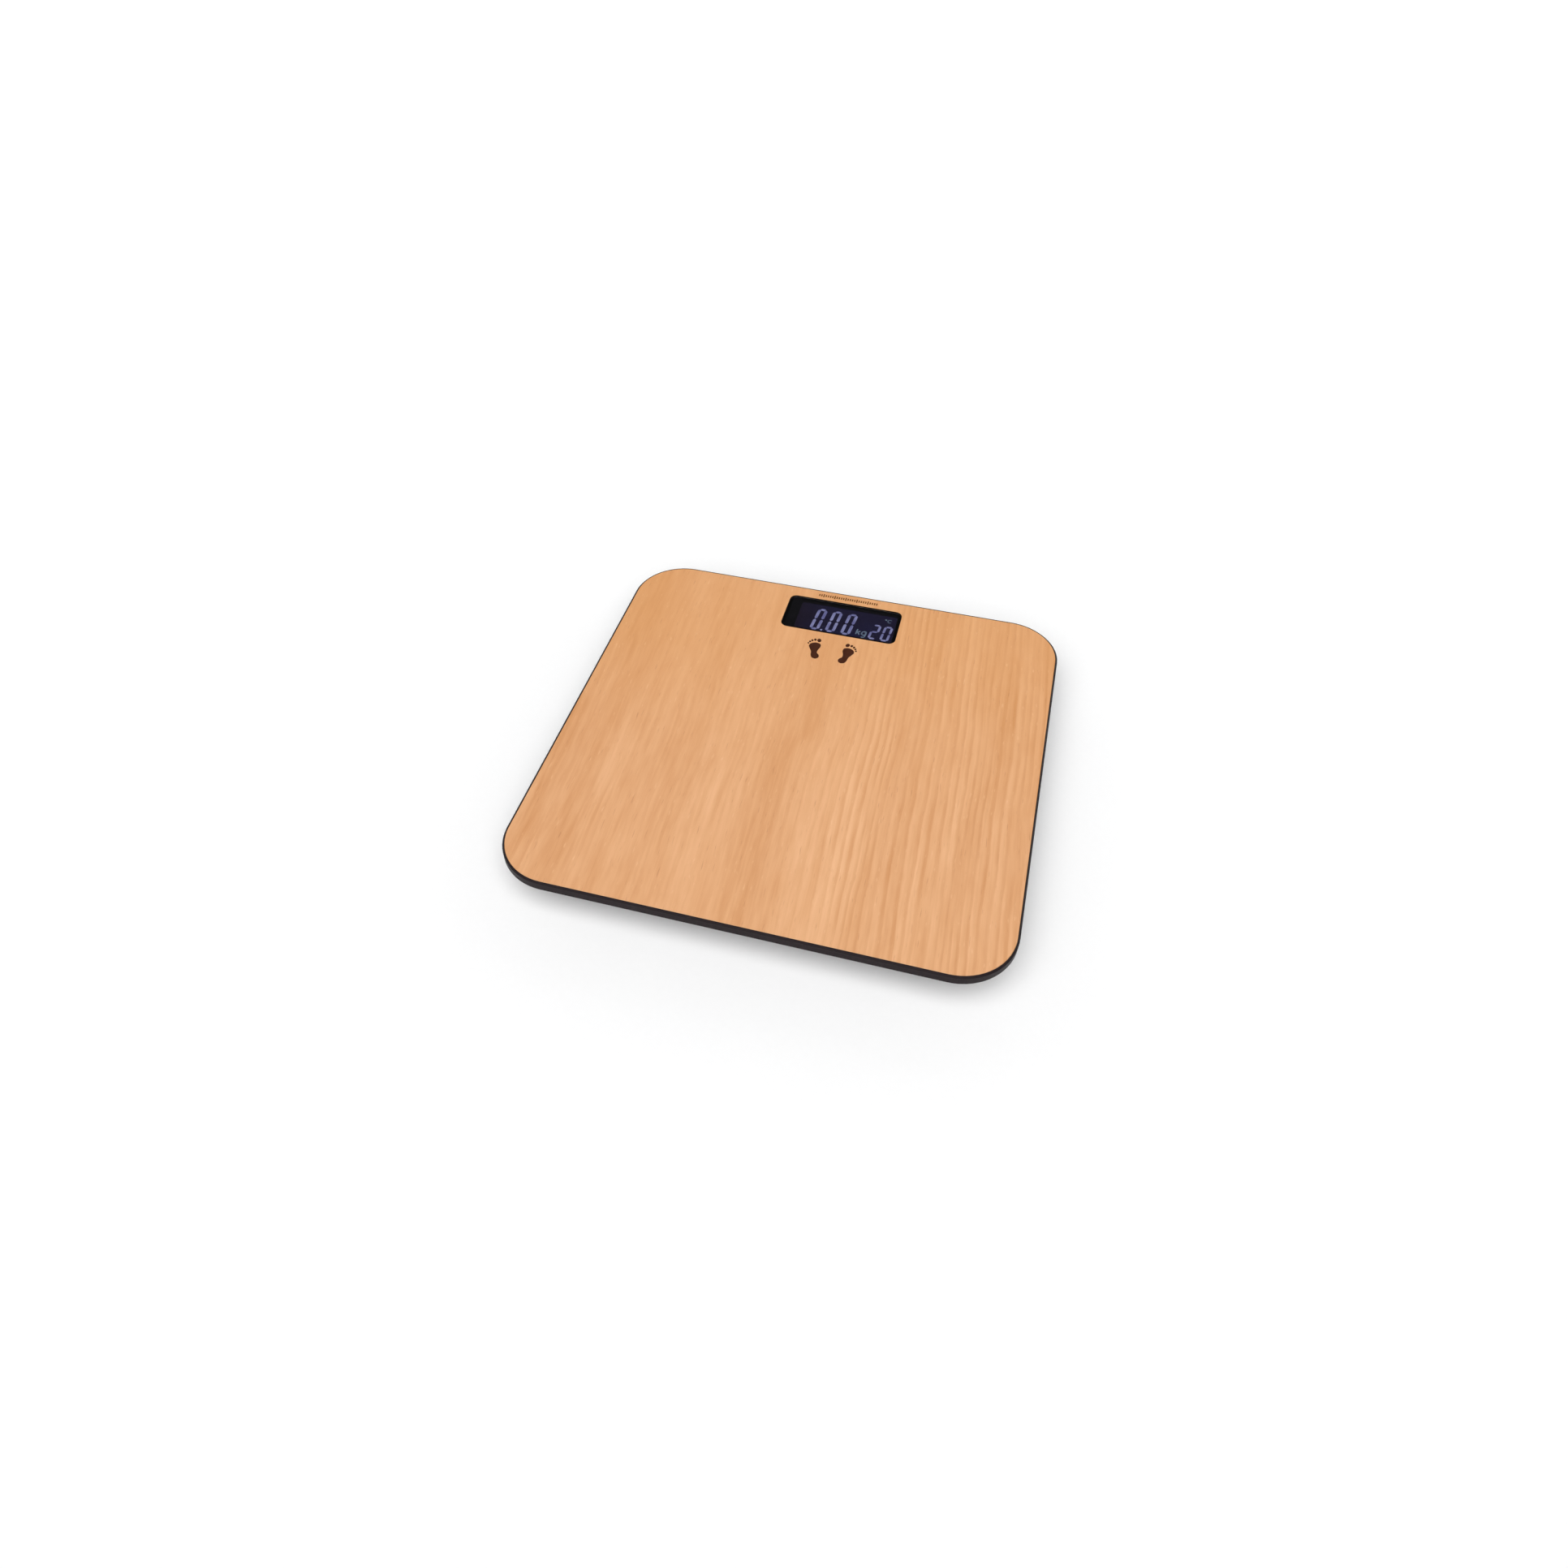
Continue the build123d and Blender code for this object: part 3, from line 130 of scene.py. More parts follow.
# ---- deck prints -------------------------------------------------------------------------------
MARK_BASE_Y = 76.0
MARK_OFFSET_X = 8.6
MARK_TURN = math.radians(-13)  # toes outwards
MARK_SIZE = 1.13  # times the outlines below
SOLE = [  # right foot, about its heel: X grows outwards, Y towards the toes
    (0.0, 0.0), (2.1, 1.1), (2.7, 3.6), (2.5, 6.6), (3.3, 9.6), (3.7, 12.0), (2.3, 14.0),
    (-0.6, 14.7), (-3.2, 13.3), (-3.3, 10.8), (-1.8, 8.0), (-1.1, 5.5), (-2.2, 3.2), (-1.9, 1.1),
]
TOES = [  # centre X, centre Y, half width, half length
    (-2.6, 16.7, 1.25, 1.65), (-0.2, 17.3, 0.8, 1.05), (1.6, 16.7, 0.7, 0.9),
    (3.0, 15.6, 0.62, 0.8), (4.0, 14.2, 0.55, 0.7),
]
TICK_ROW_Y = 143.8
TICK_PITCH = 1.6
TICK_COUNT = 27
TICK_SIZE = (0.95, 2.4)
TALL_TICK = 1.5  # times a plain tick; every fifth one, from the third

# ---- underside details -------------------------------------------------------------------------
RIDGE_COUNT = 4
RIDGE_SIZE = (16.0, 0.7, 0.35)
RIDGE_PITCH = 1.7
RIDGE_END = 0.34  # radius of each ridge's ends
RIDGE_START = 3.0  # from the door's front edge
ARROW_GAP = 2.4  # behind the last ridge
ARROW_REACH = 3.4  # half its width, and its length
GRIP_ROOT = 0.1  # depth sunk into the door
GRIP_EDGE = 0.12  # rounding of the outer edges
RULES_PER_METRE = 230.0
LABEL_INSET = 4.0 * MM  # margin of the rules on the rating label
RULE_FADE = 0.1 * MM


def colour(red, green, blue):
    """A linear colour from 8-bit display values."""
    def linear(value):
        value /= 255
        return value / 12.92 if value <= 0.04045 else ((value + 0.055) / 1.055) ** 2.4
    return (linear(red), linear(green), linear(blue), 1.0)


# ---- materials: a small writer for shader graphs -----------------------------------------------
class Surface:
    """A material made of a Principled shader and the texture nodes that feed it."""

    def __init__(self, name, **numbers):
        self.material = bpy.data.materials.new(name)
        self.material.use_nodes = True
        self.tree = self.material.node_tree
        self.tree.nodes.clear()
        self.shader = self.tree.nodes.new("ShaderNodeBsdfPrincipled")
        output = self.tree.nodes.new("ShaderNodeOutputMaterial")
        self.tree.links.new(self.shader.outputs["BSDF"], output.inputs["Surface"])
        self.place = self.tree.nodes.new("ShaderNodeTexCoord").outputs["Object"]
        for socket, value in numbers.items():
            self.feed(socket, value)

    def feed(self, socket, value):
        """Give the Principled shader's socket a number, a colour or a link."""
        self._set(self.shader.inputs[socket], value)

    def _set(self, socket, value):
        if isinstance(value, bpy.types.NodeSocket):
            self.tree.links.new(value, socket)
        else:
            socket.default_value = value

    def node(self, kind, inputs=(), **options):
        """A new node with its inputs set or linked."""
        made = self.tree.nodes.new(kind)
        for option, value in options.items():
            setattr(made, option, value)
        for socket, value in dict(inputs).items():
            self._set(made.inputs[socket], value)
        return made

    def calc(self, operation, a, b=0.0, c=0.0):
        """The result of one Math node."""
        return self.node("ShaderNodeMath", {0: a, 1: b, 2: c}, operation=operation).outputs[0]

    def axes(self, vector=None):
        """X, Y and Z of a vector, or of the place on the object."""
        return self.node("ShaderNodeSeparateXYZ", {0: vector or self.place}).outputs

    def vector(self, x, y):
        """A vector in the plane of X and Y."""
        return self.node("ShaderNodeCombineXYZ", {0: x, 1: y}).outputs[0]

    def noise(self, scale, detail=2.0, vector=None, roughness=0.5, distortion=0.0):
        """Noise whose features are 1 / scale metres wide along each axis."""
        scaled = self.node("ShaderNodeMapping", {"Vector": vector or self.place, "Scale": scale})
        return self.node("ShaderNodeTexNoise", {
            "Vector": scaled.outputs[0], "Scale": 1.0, "Detail": detail,
            "Roughness": roughness, "Distortion": distortion}).outputs[0]

    def cells(self, scale, output="Distance"):
        """Voronoi cells 1 / scale metres wide along each axis."""
        scaled = self.node("ShaderNodeMapping", {"Vector": self.place, "Scale": scale})
        made = self.node("ShaderNodeTexVoronoi", {"Vector": scaled.outputs[0], "Scale": 1.0}, feature="F1")
        return made.outputs[output]

    def span(self, value, low, high, start=0.0, end=1.0):
        """Maps low..high smoothly to start..end."""
        return self.node("ShaderNodeMapRange", {
            "Value": value, "From Min": low, "From Max": high, "To Min": start, "To Max": end},
            interpolation_type="SMOOTHSTEP").outputs[0]

    def ramp(self, value, stops, interpolation="LINEAR"):
        """A colour for each value, from (position, colour) stops."""
        made = self.node("ShaderNodeValToRGB", {0: value})
        made.color_ramp.interpolation = interpolation
        elements = made.color_ramp.elements
        while len(elements) < len(stops):
            elements.new(1.0)
        for element, (position, shade) in zip(elements, stops):
            element.position = position
            element.color = shade
        return made.outputs["Color"]

    def mix(self, share, a, b):
        """A colour from a at share 0 to b at share 1."""
        made = self.node("ShaderNodeMix", {0: share, 6: a, 7: b}, data_type="RGBA")
        return made.outputs[2]

    def bump(self, height, distance, strength=1.0):
        """A normal raised by a height, with its relief in metres."""
        made = self.node("ShaderNodeBump", {"Height": height, "Distance": distance, "Strength": strength})
        return made.outputs["Normal"]


def grey(value):
    return (value, value, value, 1.0)


# ---- wood deck ---------------------------------------------------------------------------------
WOOD_LIGHT = colour(230, 178, 133)
WOOD_DARK = colour(202, 142, 92)
WOOD_PORE = colour(158, 98, 58)
WOOD_FLECK = colour(237, 193, 152)
WOOD_GOLD = colour(207, 143, 77)
WOOD_LEAN = math.tan(math.radians(2.6))
WOOD_WANDER = 0.006
WOOD_RIPPLE = 0.0035
RINGS_PER_METRE = 195.0
WOOD_BANDS = [  # X in millimetres and tone of the broad soft bands that run front to back
    (-150, 0.40), (-128, 0.34), (-112, 0.46), (-94, 0.60), (-82, 0.46), (-64, 0.52), (-48, 0.70),
    (-34, 0.56), (-20, 0.58), (-7, 0.30), (8, 0.50), (26, 0.70), (44, 0.64), (62, 0.44), (84, 0.58),
    (104, 0.54), (120, 0.42), (136, 0.52), (150, 0.44),
]


def wood_decor():
    """Pale beech decor: grain along Y, soft bands all over, ring lines on the right half."""
    wood = Surface("wood_decor", **{"Specular IOR Level": 0.35, "Coat Weight": 0.12, "Coat Roughness": 0.32})
    x, y = wood.axes()[:2]
    drift = wood.noise((5.0, 5.5, 1.0), 2.0)
    ripple = wood.noise((22.0, 17.0, 1.0), 4.0, roughness=0.55)
    sway = wood.calc("ADD", wood.calc("MULTIPLY_ADD", drift, WOOD_WANDER, -0.5 * WOOD_WANDER),
                     wood.calc("MULTIPLY_ADD", ripple, WOOD_RIPPLE, -0.5 * WOOD_RIPPLE))
    across = wood.calc("ADD", wood.calc("MULTIPLY_ADD", y, WOOD_LEAN, x), sway)
    grain = wood.vector(across, y)
    half = WOOD_BANDS[-1][0] * MM
    place_across = wood.node("ShaderNodeMapRange", {
        "Value": across, "From Min": -half, "From Max": half, "To Min": 0.0, "To Max": 1.0}).outputs[0]
    bands = wood.ramp(place_across, [
        (0.5 + 0.5 * at * MM / half, grey(tone)) for at, tone in WOOD_BANDS], "B_SPLINE")
    streaks = wood.noise((85.0, 2.6, 1.0), 3.0, grain, 0.6)
    mottle = wood.noise((105.0, 13.0, 1.0), 3.0, grain, 0.55)
    dapple = wood.noise((230.0, 40.0, 1.0), 2.0, grain)
    fine = wood.noise((420.0, 9.0, 1.0), 3.0, grain, 0.6)
    fibres = wood.noise((1700.0, 45.0, 1.0), 2.0, grain)
    tone = bands
    for layer, weight in ((streaks, 0.7), (mottle, 0.6), (dapple, 0.55), (fine, 0.62), (fibres, 0.22)):
        tone = wood.calc("ADD", tone, wood.calc("MULTIPLY_ADD", layer, weight, -weight / 2))
    # growth rings: a slow rise and a sharp fall, spaced unevenly by a slow noise
    spacing = wood.noise((24.0, 1.8, 1.0), 2.0, grain)
    phase = wood.calc("MULTIPLY_ADD", across, RINGS_PER_METRE, wood.calc("MULTIPLY", spacing, 3.2))
    ring = wood.ramp(wood.calc("FRACT", phase), [
        (0.0, grey(0.8)), (0.4, grey(0.62)), (0.7, grey(0.15)), (0.84, grey(0.1)), (1.0, grey(0.8))], "EASE")
    right = wood.span(x, 0.0, 0.05, 0.10, 0.64)
    uneven = wood.span(wood.noise((34.0, 11.0, 1.0), 2.0, grain), 0.3, 0.7, 0.2, 1.0)
    depth = wood.calc("MULTIPLY", right, uneven)
    tone = wood.calc("MULTIPLY_ADD", wood.calc("SUBTRACT", ring, 0.45), depth, tone)
    base = wood.mix(tone, WOOD_DARK, WOOD_LIGHT)
    # the far part of the sheet is a little more golden, the near part rosier
    gold = wood.calc("MULTIPLY", wood.span(y, -0.08, 0.14, 0.0, 0.75), wood.span(drift, 0.3, 0.7, 0.6, 1.0))
    base = wood.mix(gold, base, wood.mix(0.7, base, WOOD_GOLD))
    # short dark pores and pale ray flecks
    pores = wood.span(wood.noise((1100.0, 85.0, 1.0), 1.0, grain), 0.67, 0.77, 0.0, 0.3)
    flecks = wood.span(wood.noise((620.0, 120.0, 1.0), 1.0, grain), 0.66, 0.8, 0.0, 0.3)
    base = wood.mix(pores, base, WOOD_PORE)
    base = wood.mix(flecks, base, WOOD_FLECK)
    wood.feed("Base Color", base)
    wood.feed("Roughness", wood.span(streaks, 0.3, 0.7, 0.40, 0.52))
    relief = wood.calc("SUBTRACT", wood.calc("MULTIPLY", fibres, 0.4), pores)
    wood.feed("Normal", wood.bump(relief, 0.06 * MM, 0.5))
    return wood.material


# ---- plastics, rubber and metals ---------------------------------------------------------------
def moulded(name, base, roughness=0.5, grain=1600.0, relief=0.05, variation=0.25, shine=0.3):
    """Moulded plastic: spark-eroded grain, faint flow marks and scuffs."""
    part = Surface(name, **{"Specular IOR Level": shine})
    flow = part.noise((16.0, 9.0, 20.0), 3.0)
    cloud = part.noise((90.0,) * 3, 3.0)
    spark = part.noise((grain,) * 3, 2.0)
    darker = tuple(channel * (1 - variation) for channel in base[:3]) + (1.0,)
    lighter = tuple(channel * (1 + variation) for channel in base[:3]) + (1.0,)
    part.feed("Base Color", part.mix(part.mix(0.5, flow, cloud), darker, lighter))
    scuffs = part.span(part.noise((240.0, 30.0, 60.0), 2.0), 0.62, 0.8, 0.0, 0.12)
    worn = part.calc("MULTIPLY_ADD", spark, 0.16, roughness - 0.08)
    part.feed("Roughness", part.calc("SUBTRACT", worn, scuffs))
    part.feed("Normal", part.bump(spark, relief * MM, 0.55))
    return part.material


def rubber(name, base):
    """Matt rubber with a fine pebbled skin and pale dust."""
    part = Surface(name, **{"Specular IOR Level": 0.3})
    dust = part.span(part.noise((120.0,) * 3, 4.0), 0.5, 0.8, 0.0, 0.35)
    part.feed("Base Color", part.mix(dust, base, colour(118, 114, 108)))
    pebbles = part.cells((1500.0,) * 3)
    part.feed("Roughness", part.span(dust, 0.0, 0.35, 0.72, 0.9))
    part.feed("Normal", part.bump(pebbles, 0.06 * MM, 0.6))
    return part.material


def brushed_metal(name, base, stretch, roughness=0.3):
    """Plated or brushed metal with fine lines along its least stretched axis and a faint stain."""
    part = Surface(name, **{"Metallic": 1.0})
    lines = part.noise(stretch, 2.0)
    stain = part.noise((110.0,) * 3, 3.0)
    darker = tuple(channel * 0.78 for channel in base[:3]) + (1.0,)
    part.feed("Base Color", part.mix(part.mix(0.4, lines, stain), darker, base))
    part.feed("Roughness", part.calc("MULTIPLY_ADD", part.mix(0.5, lines, stain), 0.25, roughness - 0.1))
    part.feed("Normal", part.bump(lines, 0.015 * MM, 0.5))
    return part.material


def galvanised_steel():
    """Hot-dip zinc: a spangle of crystals of slightly different shine."""
    part = Surface("galvanised_steel", **{"Metallic": 1.0})
    crystal = part.cells((170.0,) * 3, output="Color")
    shade = part.axes(crystal)[0]
    haze = part.noise((60.0,) * 3, 3.0)
    zinc = part.mix(0.35, shade, haze)
    part.feed("Base Color", part.mix(zinc, colour(150, 155, 160), colour(205, 209, 212)))
    part.feed("Roughness", part.span(shade, 0.0, 1.0, 0.28, 0.5))
    part.feed("Normal", part.bump(part.noise((900.0,) * 3, 2.0), 0.02 * MM, 0.4))
    return part.material


def insulation(name, base):
    """Thin PVC insulation: slight waviness and handling marks."""
    part = Surface(name, **{"Specular IOR Level": 0.5})
    marks = part.noise((420.0,) * 3, 3.0)
    darker = tuple(channel * 0.7 for channel in base[:3]) + (1.0,)
    part.feed("Base Color", part.mix(marks, darker, base))
    part.feed("Roughness", part.span(marks, 0.3, 0.7, 0.3, 0.48))
    part.feed("Normal", part.bump(part.noise((700.0,) * 3, 2.0), 0.04 * MM, 0.4))
    return part.material


# ---- display -----------------------------------------------------------------------------------
def smoked_pane():
    """Clear acrylic with a light smoke tint and faint wipe marks."""
    pane = Surface("smoked_pane", **{"Transmission Weight": 1.0, "IOR": 1.46})
    wipe = pane.noise((60.0, 220.0, 60.0), 3.0, distortion=0.6)
    pane.feed("Base Color", pane.mix(wipe, colour(196, 198, 212), colour(206, 208, 222)))
    pane.feed("Roughness", pane.span(wipe, 0.45, 0.8, 0.015, 0.06))
    return pane.material


def lcd_glass():
    """Negative display glass: near black, with the backlight leaking through as dark navy."""
    glass = Surface("lcd_glass", **{"Roughness": 0.18, "Emission Strength": 1.0})
    x = glass.axes()[0]
    leak = glass.noise((38.0, 46.0, 38.0), 2.0)
    middle = glass.calc("MULTIPLY", glass.span(x, *GLOW_LEFT), glass.span(x, *GLOW_RIGHT))
    glow = glass.calc("MULTIPLY", leak, glass.calc("MULTIPLY_ADD", middle, 0.8, 0.2))
    rows = glass.node("ShaderNodeTexWave", {"Vector": glass.place, "Scale": 450.0, "Distortion": 0.0},
                      bands_direction="Y").outputs["Fac"]
    glow = glass.calc("MULTIPLY", glow, glass.calc("MULTIPLY_ADD", rows, 0.12, 0.9))
    glass.feed("Emission Color", glass.mix(glow, colour(27, 14, 27), colour(33, 33, 68)))
    glass.feed("Base Color", glass.mix(leak, colour(6, 6, 12), colour(13, 12, 24)))
    return glass.material


def lit_segment(name, bright, dim, strength):
    """Liquid-crystal segment with the backlight showing through, a little uneven."""
    segment = Surface(name, **{
        "Roughness": 0.5, "Emission Strength": strength, "Base Color": colour(20, 20, 30)})
    uneven = segment.noise((150.0, 90.0, 150.0), 2.0)
    segment.feed("Emission Color", segment.mix(segment.span(uneven, 0.3, 0.7), dim, bright))
    return segment.material


def mask_ink():
    """Black ink printed behind the pane."""
    ink = Surface("mask_ink", **{"Specular IOR Level": 0.08})
    specks = ink.noise((800.0,) * 3, 2.0)
    ink.feed("Base Color", ink.mix(specks, colour(11, 7, 10), colour(22, 15, 20)))
    ink.feed("Roughness", ink.span(specks, 0.3, 0.7, 0.6, 0.75))
    return ink.material


def deck_ink(name, dark, light):
    """Screen-printed ink on the decor, thin enough for its edge and grain to show."""
    ink = Surface(name, **{"Specular IOR Level": 0.12})
    grain = ink.noise((420.0, 30.0, 1.0), 3.0)
    ink.feed("Base Color", ink.mix(grain, dark, light))
    ink.feed("Roughness", ink.span(grain, 0.3, 0.7, 0.45, 0.6))
    ink.feed("Normal", ink.bump(grain, 0.02 * MM, 0.4))
    return ink.material


# ---- electronics and small parts ---------------------------------------------------------------
def board_green():
    """Solder mask over copper: tracks as lighter lines, tinned pads and weave underneath."""
    board = Surface("board_green", **{"Specular IOR Level": 0.5})
    tracks = board.node("ShaderNodeTexBrick", {
        "Vector": board.place, "Color1": grey(1.0), "Color2": grey(1.0), "Mortar": grey(0.0),
        "Scale": 260.0, "Mortar Size": 0.09, "Mortar Smooth": 0.3,
        "Brick Width": 1.6, "Row Height": 0.5}).outputs["Color"]
    pads = board.span(board.cells((260.0, 260.0, 1.0)), 0.16, 0.2, 1.0, 0.0)
    weave = board.noise((1200.0, 1200.0, 1.0), 1.0)
    mask = board.mix(weave, colour(10, 70, 38), colour(18, 88, 50))
    mask = board.mix(tracks, colour(34, 118, 66), mask)
    board.feed("Base Color", board.mix(pads, mask, colour(196, 198, 196)))
    board.feed("Metallic", pads)
    board.feed("Roughness", board.span(weave, 0.3, 0.7, 0.28, 0.4))
    board.feed("Normal", board.bump(tracks, 0.03 * MM, -0.5))
    return board.material


def cell_wrap(name, nub_side, shoulder, tail):
    """Battery: printed sleeve with a bright band at the positive end, bare steel at both ends."""
    cell = Surface(name, **{"Specular IOR Level": 0.5})
    x = cell.axes()[0]
    along = cell.node("ShaderNodeMapRange", {
        "Value": x, "From Min": tail, "From Max": shoulder, "To Min": 0.0, "To Max": 1.0}).outputs[0]
    sleeve = cell.ramp(along, [
        (0.0, colour(40, 44, 52)), (0.60, colour(38, 44, 60)),
        (0.61, colour(222, 224, 226)), (0.63, colour(222, 224, 226)),
        (0.64, colour(196, 118, 40)), (0.98, colour(206, 130, 50))], "CONSTANT")
    scuff = cell.noise((700.0, 90.0, 90.0), 3.0)
    sleeve = cell.mix(cell.calc("MULTIPLY", scuff, 0.25), sleeve, colour(120, 122, 128))
    near, far = (nub_side * reach for reach in SLEEVE_END)
    bare_tail = cell.span(x, tail + near, tail + far, 1.0, 0.0)
    bare_nub = cell.span(x, shoulder - far, shoulder - near)
    bare = cell.calc("MAXIMUM", bare_tail, bare_nub)
    cell.feed("Base Color", cell.mix(bare, sleeve, colour(196, 196, 192)))
    cell.feed("Metallic", bare)
    cell.feed("Roughness", cell.span(scuff, 0.3, 0.7, 0.22, 0.36))
    cell.feed("Normal", cell.bump(scuff, 0.02 * MM, 0.3))
    return cell.material


def blank_label():
    """Silvery polyester label with plain printed rules and no words."""
    label = Surface("blank_label", **{"Specular IOR Level": 0.4})
    x, y = label.axes()[:2]
    low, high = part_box("rating_label")
    rows = label.calc("FRACT", label.calc("MULTIPLY", y, RULES_PER_METRE))
    rules = label.span(rows, 0.10, 0.16, 1.0, 0.0)
    end_x = high.x - LABEL_INSET
    inside_x = label.span(label.calc("ABSOLUTE", x), end_x, end_x + RULE_FADE, 1.0, 0.0)
    from_middle = label.calc("ABSOLUTE", label.calc("SUBTRACT", y, (low.y + high.y) / 2))
    end_y = (high.y - low.y) / 2 - LABEL_INSET
    inside_y = label.span(from_middle, end_y, end_y + RULE_FADE, 1.0, 0.0)
    rules = label.calc("MULTIPLY", rules, label.calc("MULTIPLY", inside_x, inside_y))
    fibres = label.noise((500.0, 500.0, 1.0), 3.0)
    sheet = label.mix(fibres, colour(196, 197, 198), colour(214, 214, 213))
    label.feed("Base Color", label.mix(rules, sheet, colour(70, 72, 76)))
    label.feed("Roughness", label.span(fibres, 0.3, 0.7, 0.36, 0.5))
    label.feed("Normal", label.bump(fibres, 0.02 * MM, 0.3))
    return label.material


def amber_foil():
    """Polyimide gauge foil: zigzag conductor under amber film."""
    foil = Surface("amber_foil", **{"Specular IOR Level": 0.5})
    zigzag = foil.node("ShaderNodeTexWave", {"Vector": foil.place, "Scale": 400.0, "Distortion": 0.0},
                       bands_direction="Y").outputs["Fac"]
    foil.feed("Base Color", foil.mix(foil.span(zigzag, 0.4, 0.6), colour(176, 104, 30), colour(206, 138, 70)))
    haze = foil.noise((600.0,) * 3, 2.0)
    foil.feed("Roughness", foil.span(haze, 0.3, 0.7, 0.25, 0.4))
    foil.feed("Normal", foil.bump(zigzag, 0.02 * MM, 0.5))
    return foil.material


def striped_zebra():
    """Elastomer strip of thin conducting and insulating layers."""
    strip = Surface("zebra_rubber", **{"Specular IOR Level": 0.3})
    layers = strip.node("ShaderNodeTexWave", {"Vector": strip.place, "Scale": 2200.0, "Distortion": 0.0},
                        bands_direction="X").outputs["Fac"]
    strip.feed("Base Color", strip.mix(layers, colour(60, 48, 52), colour(214, 176, 182)))
    strip.feed("Roughness", strip.span(strip.noise((500.0,) * 3, 2.0), 0.3, 0.7, 0.6, 0.75))
    return strip.material


def light_guide():
    """Clear acrylic guide with a fine dot pattern underneath."""
    guide = Surface("light_guide", **{"Specular IOR Level": 0.5})
    dots = guide.span(guide.cells((900.0, 900.0, 1.0)), 0.25, 0.35, 1.0, 0.0)
    guide.feed("Base Color", guide.mix(dots, colour(222, 228, 236), colour(250, 250, 250)))
    guide.feed("Roughness", guide.span(dots, 0.0, 1.0, 0.12, 0.4))
    return guide.material


def cell_material(node, nub_side):
    """Sleeve and bare ends of a battery whose positive end points to the given side of X."""
    low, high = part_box(node)
    tail = low.x if nub_side > 0 else high.x
    tip = high.x if nub_side > 0 else low.x
    return cell_wrap(node + "_wrap", nub_side, tip - nub_side * CELL_NUB, tail)


def dress_nodes():
    """Give every CAD node the material of its slot."""
    plain_black = colour(25, 15, 18)
    materials = {
        "wood_decor": wood_decor(),
        "adhesive_film": moulded("adhesive_film", colour(222, 218, 204), 0.45, 500.0, 0.02, 0.05),
        "galvanised_steel": galvanised_steel(),
        "black_plastic": moulded("black_plastic", plain_black, 0.52, shine=0.15),
        "grey_plastic": moulded("grey_plastic", colour(101, 101, 101), 0.5, variation=0.06),
        "button_grey": moulded("button_grey", colour(122, 122, 125), 0.42, 2200.0, 0.03, 0.06),
        "blank_label": blank_label(),
        "amber_foil": amber_foil(),
        "smoked_pane": smoked_pane(),
        "lcd_glass": lcd_glass(),
        "light_guide": light_guide(),
        "zebra_rubber": striped_zebra(),
        "board_green": board_green(),
        "potting_black": moulded("potting_black", colour(30, 30, 31), 0.4, 900.0, 0.04, 0.15),
        "nylon_white": moulded("nylon_white", colour(226, 224, 216), 0.45, 1200.0, 0.02, 0.04),
        "nickel_plate": brushed_metal("nickel_plate", colour(214, 210, 202), (1400.0, 60.0, 400.0), 0.26),
        "screw_steel": brushed_metal("screw_steel", colour(188, 189, 190), (300.0, 300.0, 1500.0), 0.3),
        "foot_rubber": rubber("foot_rubber", colour(52, 51, 52)),
        "lead_red": insulation("lead_red", colour(186, 38, 30)),
        "lead_black": insulation("lead_black", colour(38, 38, 39)),
        "lead_white": insulation("lead_white", colour(226, 226, 222)),
    }
    for row in frame["record"]["subparts"]:
        node = row["node"]
        if row["material_slot"] == "cell_wrap":
            material = cell_material(node, -1 if node.endswith("1") else 1)
        else:
            material = materials[row["material_slot"]]
        mesh = frame["nodes"][node].data
        mesh.materials.clear()
        mesh.materials.append(material)
    return materials


# ---- mesh pieces -------------------------------------------------------------------------------
def add_prism(bm, outline, z_low, z_high):
    """A flat solid with the given outline, in metres."""
    bottom = [bm.verts.new((x, y, z_low)) for x, y in outline]
    top = [bm.verts.new((x, y, z_high)) for x, y in outline]
    bm.faces.new(reversed(bottom))
    bm.faces.new(top)
    for index in range(len(outline)):
        after = (index + 1) % len(outline)
        bm.faces.new((bottom[index], bottom[after], top[after], top[index]))


def add_frame(bm, outer, inner, z_low, z_high):
    """A flat ring between two outlines with the same number of points."""
    loops = [[bm.verts.new((x, y, z)) for x, y in outline] for outline, z in (
        (outer, z_low), (outer, z_high), (inner, z_high), (inner, z_low))]
    count = len(outer)
    for first, second in zip(loops, loops[1:] + loops[:1]):
        for index in range(count):
            after = (index + 1) % count
            bm.faces.new((first[index], first[after], second[after], second[index]))


def rounded_rectangle(x_range, y_range, radius, steps=8):
    """Outline with round corners, anticlockwise."""
    corners = [
        (x_range[1] - radius, y_range[1] - radius, 0), (x_range[0] + radius, y_range[1] - radius, 90),
        (x_range[0] + radius, y_range[0] + radius, 180), (x_range[1] - radius, y_range[0] + radius, 270)]
    outline = []
    for x, y, start in corners:
        for step in range(steps + 1):
            angle = math.radians(start + 90 * step / steps)
            outline.append((x + radius * math.cos(angle), y + radius * math.sin(angle)))
    return outline


def ellipse(x, y, half_width, half_height, steps=20):
    """Outline of an ellipse, anticlockwise."""
    turns = [2 * math.pi * step / steps for step in range(steps)]
    return [(x + half_width * math.cos(turn), y + half_height * math.sin(turn)) for turn in turns]


def smooth_loop(points, steps=6):
    """A closed Catmull-Rom curve through the points."""
    outline = []
    count = len(points)
    for index in range(count):
        a, b, c, d = (Vector(points[(index + shift) % count]) for shift in (-1, 0, 1, 2))
        for step in range(steps):
            t = step / steps
            bend = (2 * a - 5 * b + 4 * c - d) * t**2
            twist = (3 * b - a - 3 * c + d) * t**3
            point = 0.5 * (2 * b + (c - a) * t + bend + twist)
            outline.append((point.x, point.y))
    return outline


def in_metres(outline):
    return [(x * MM, y * MM) for x, y in outline]


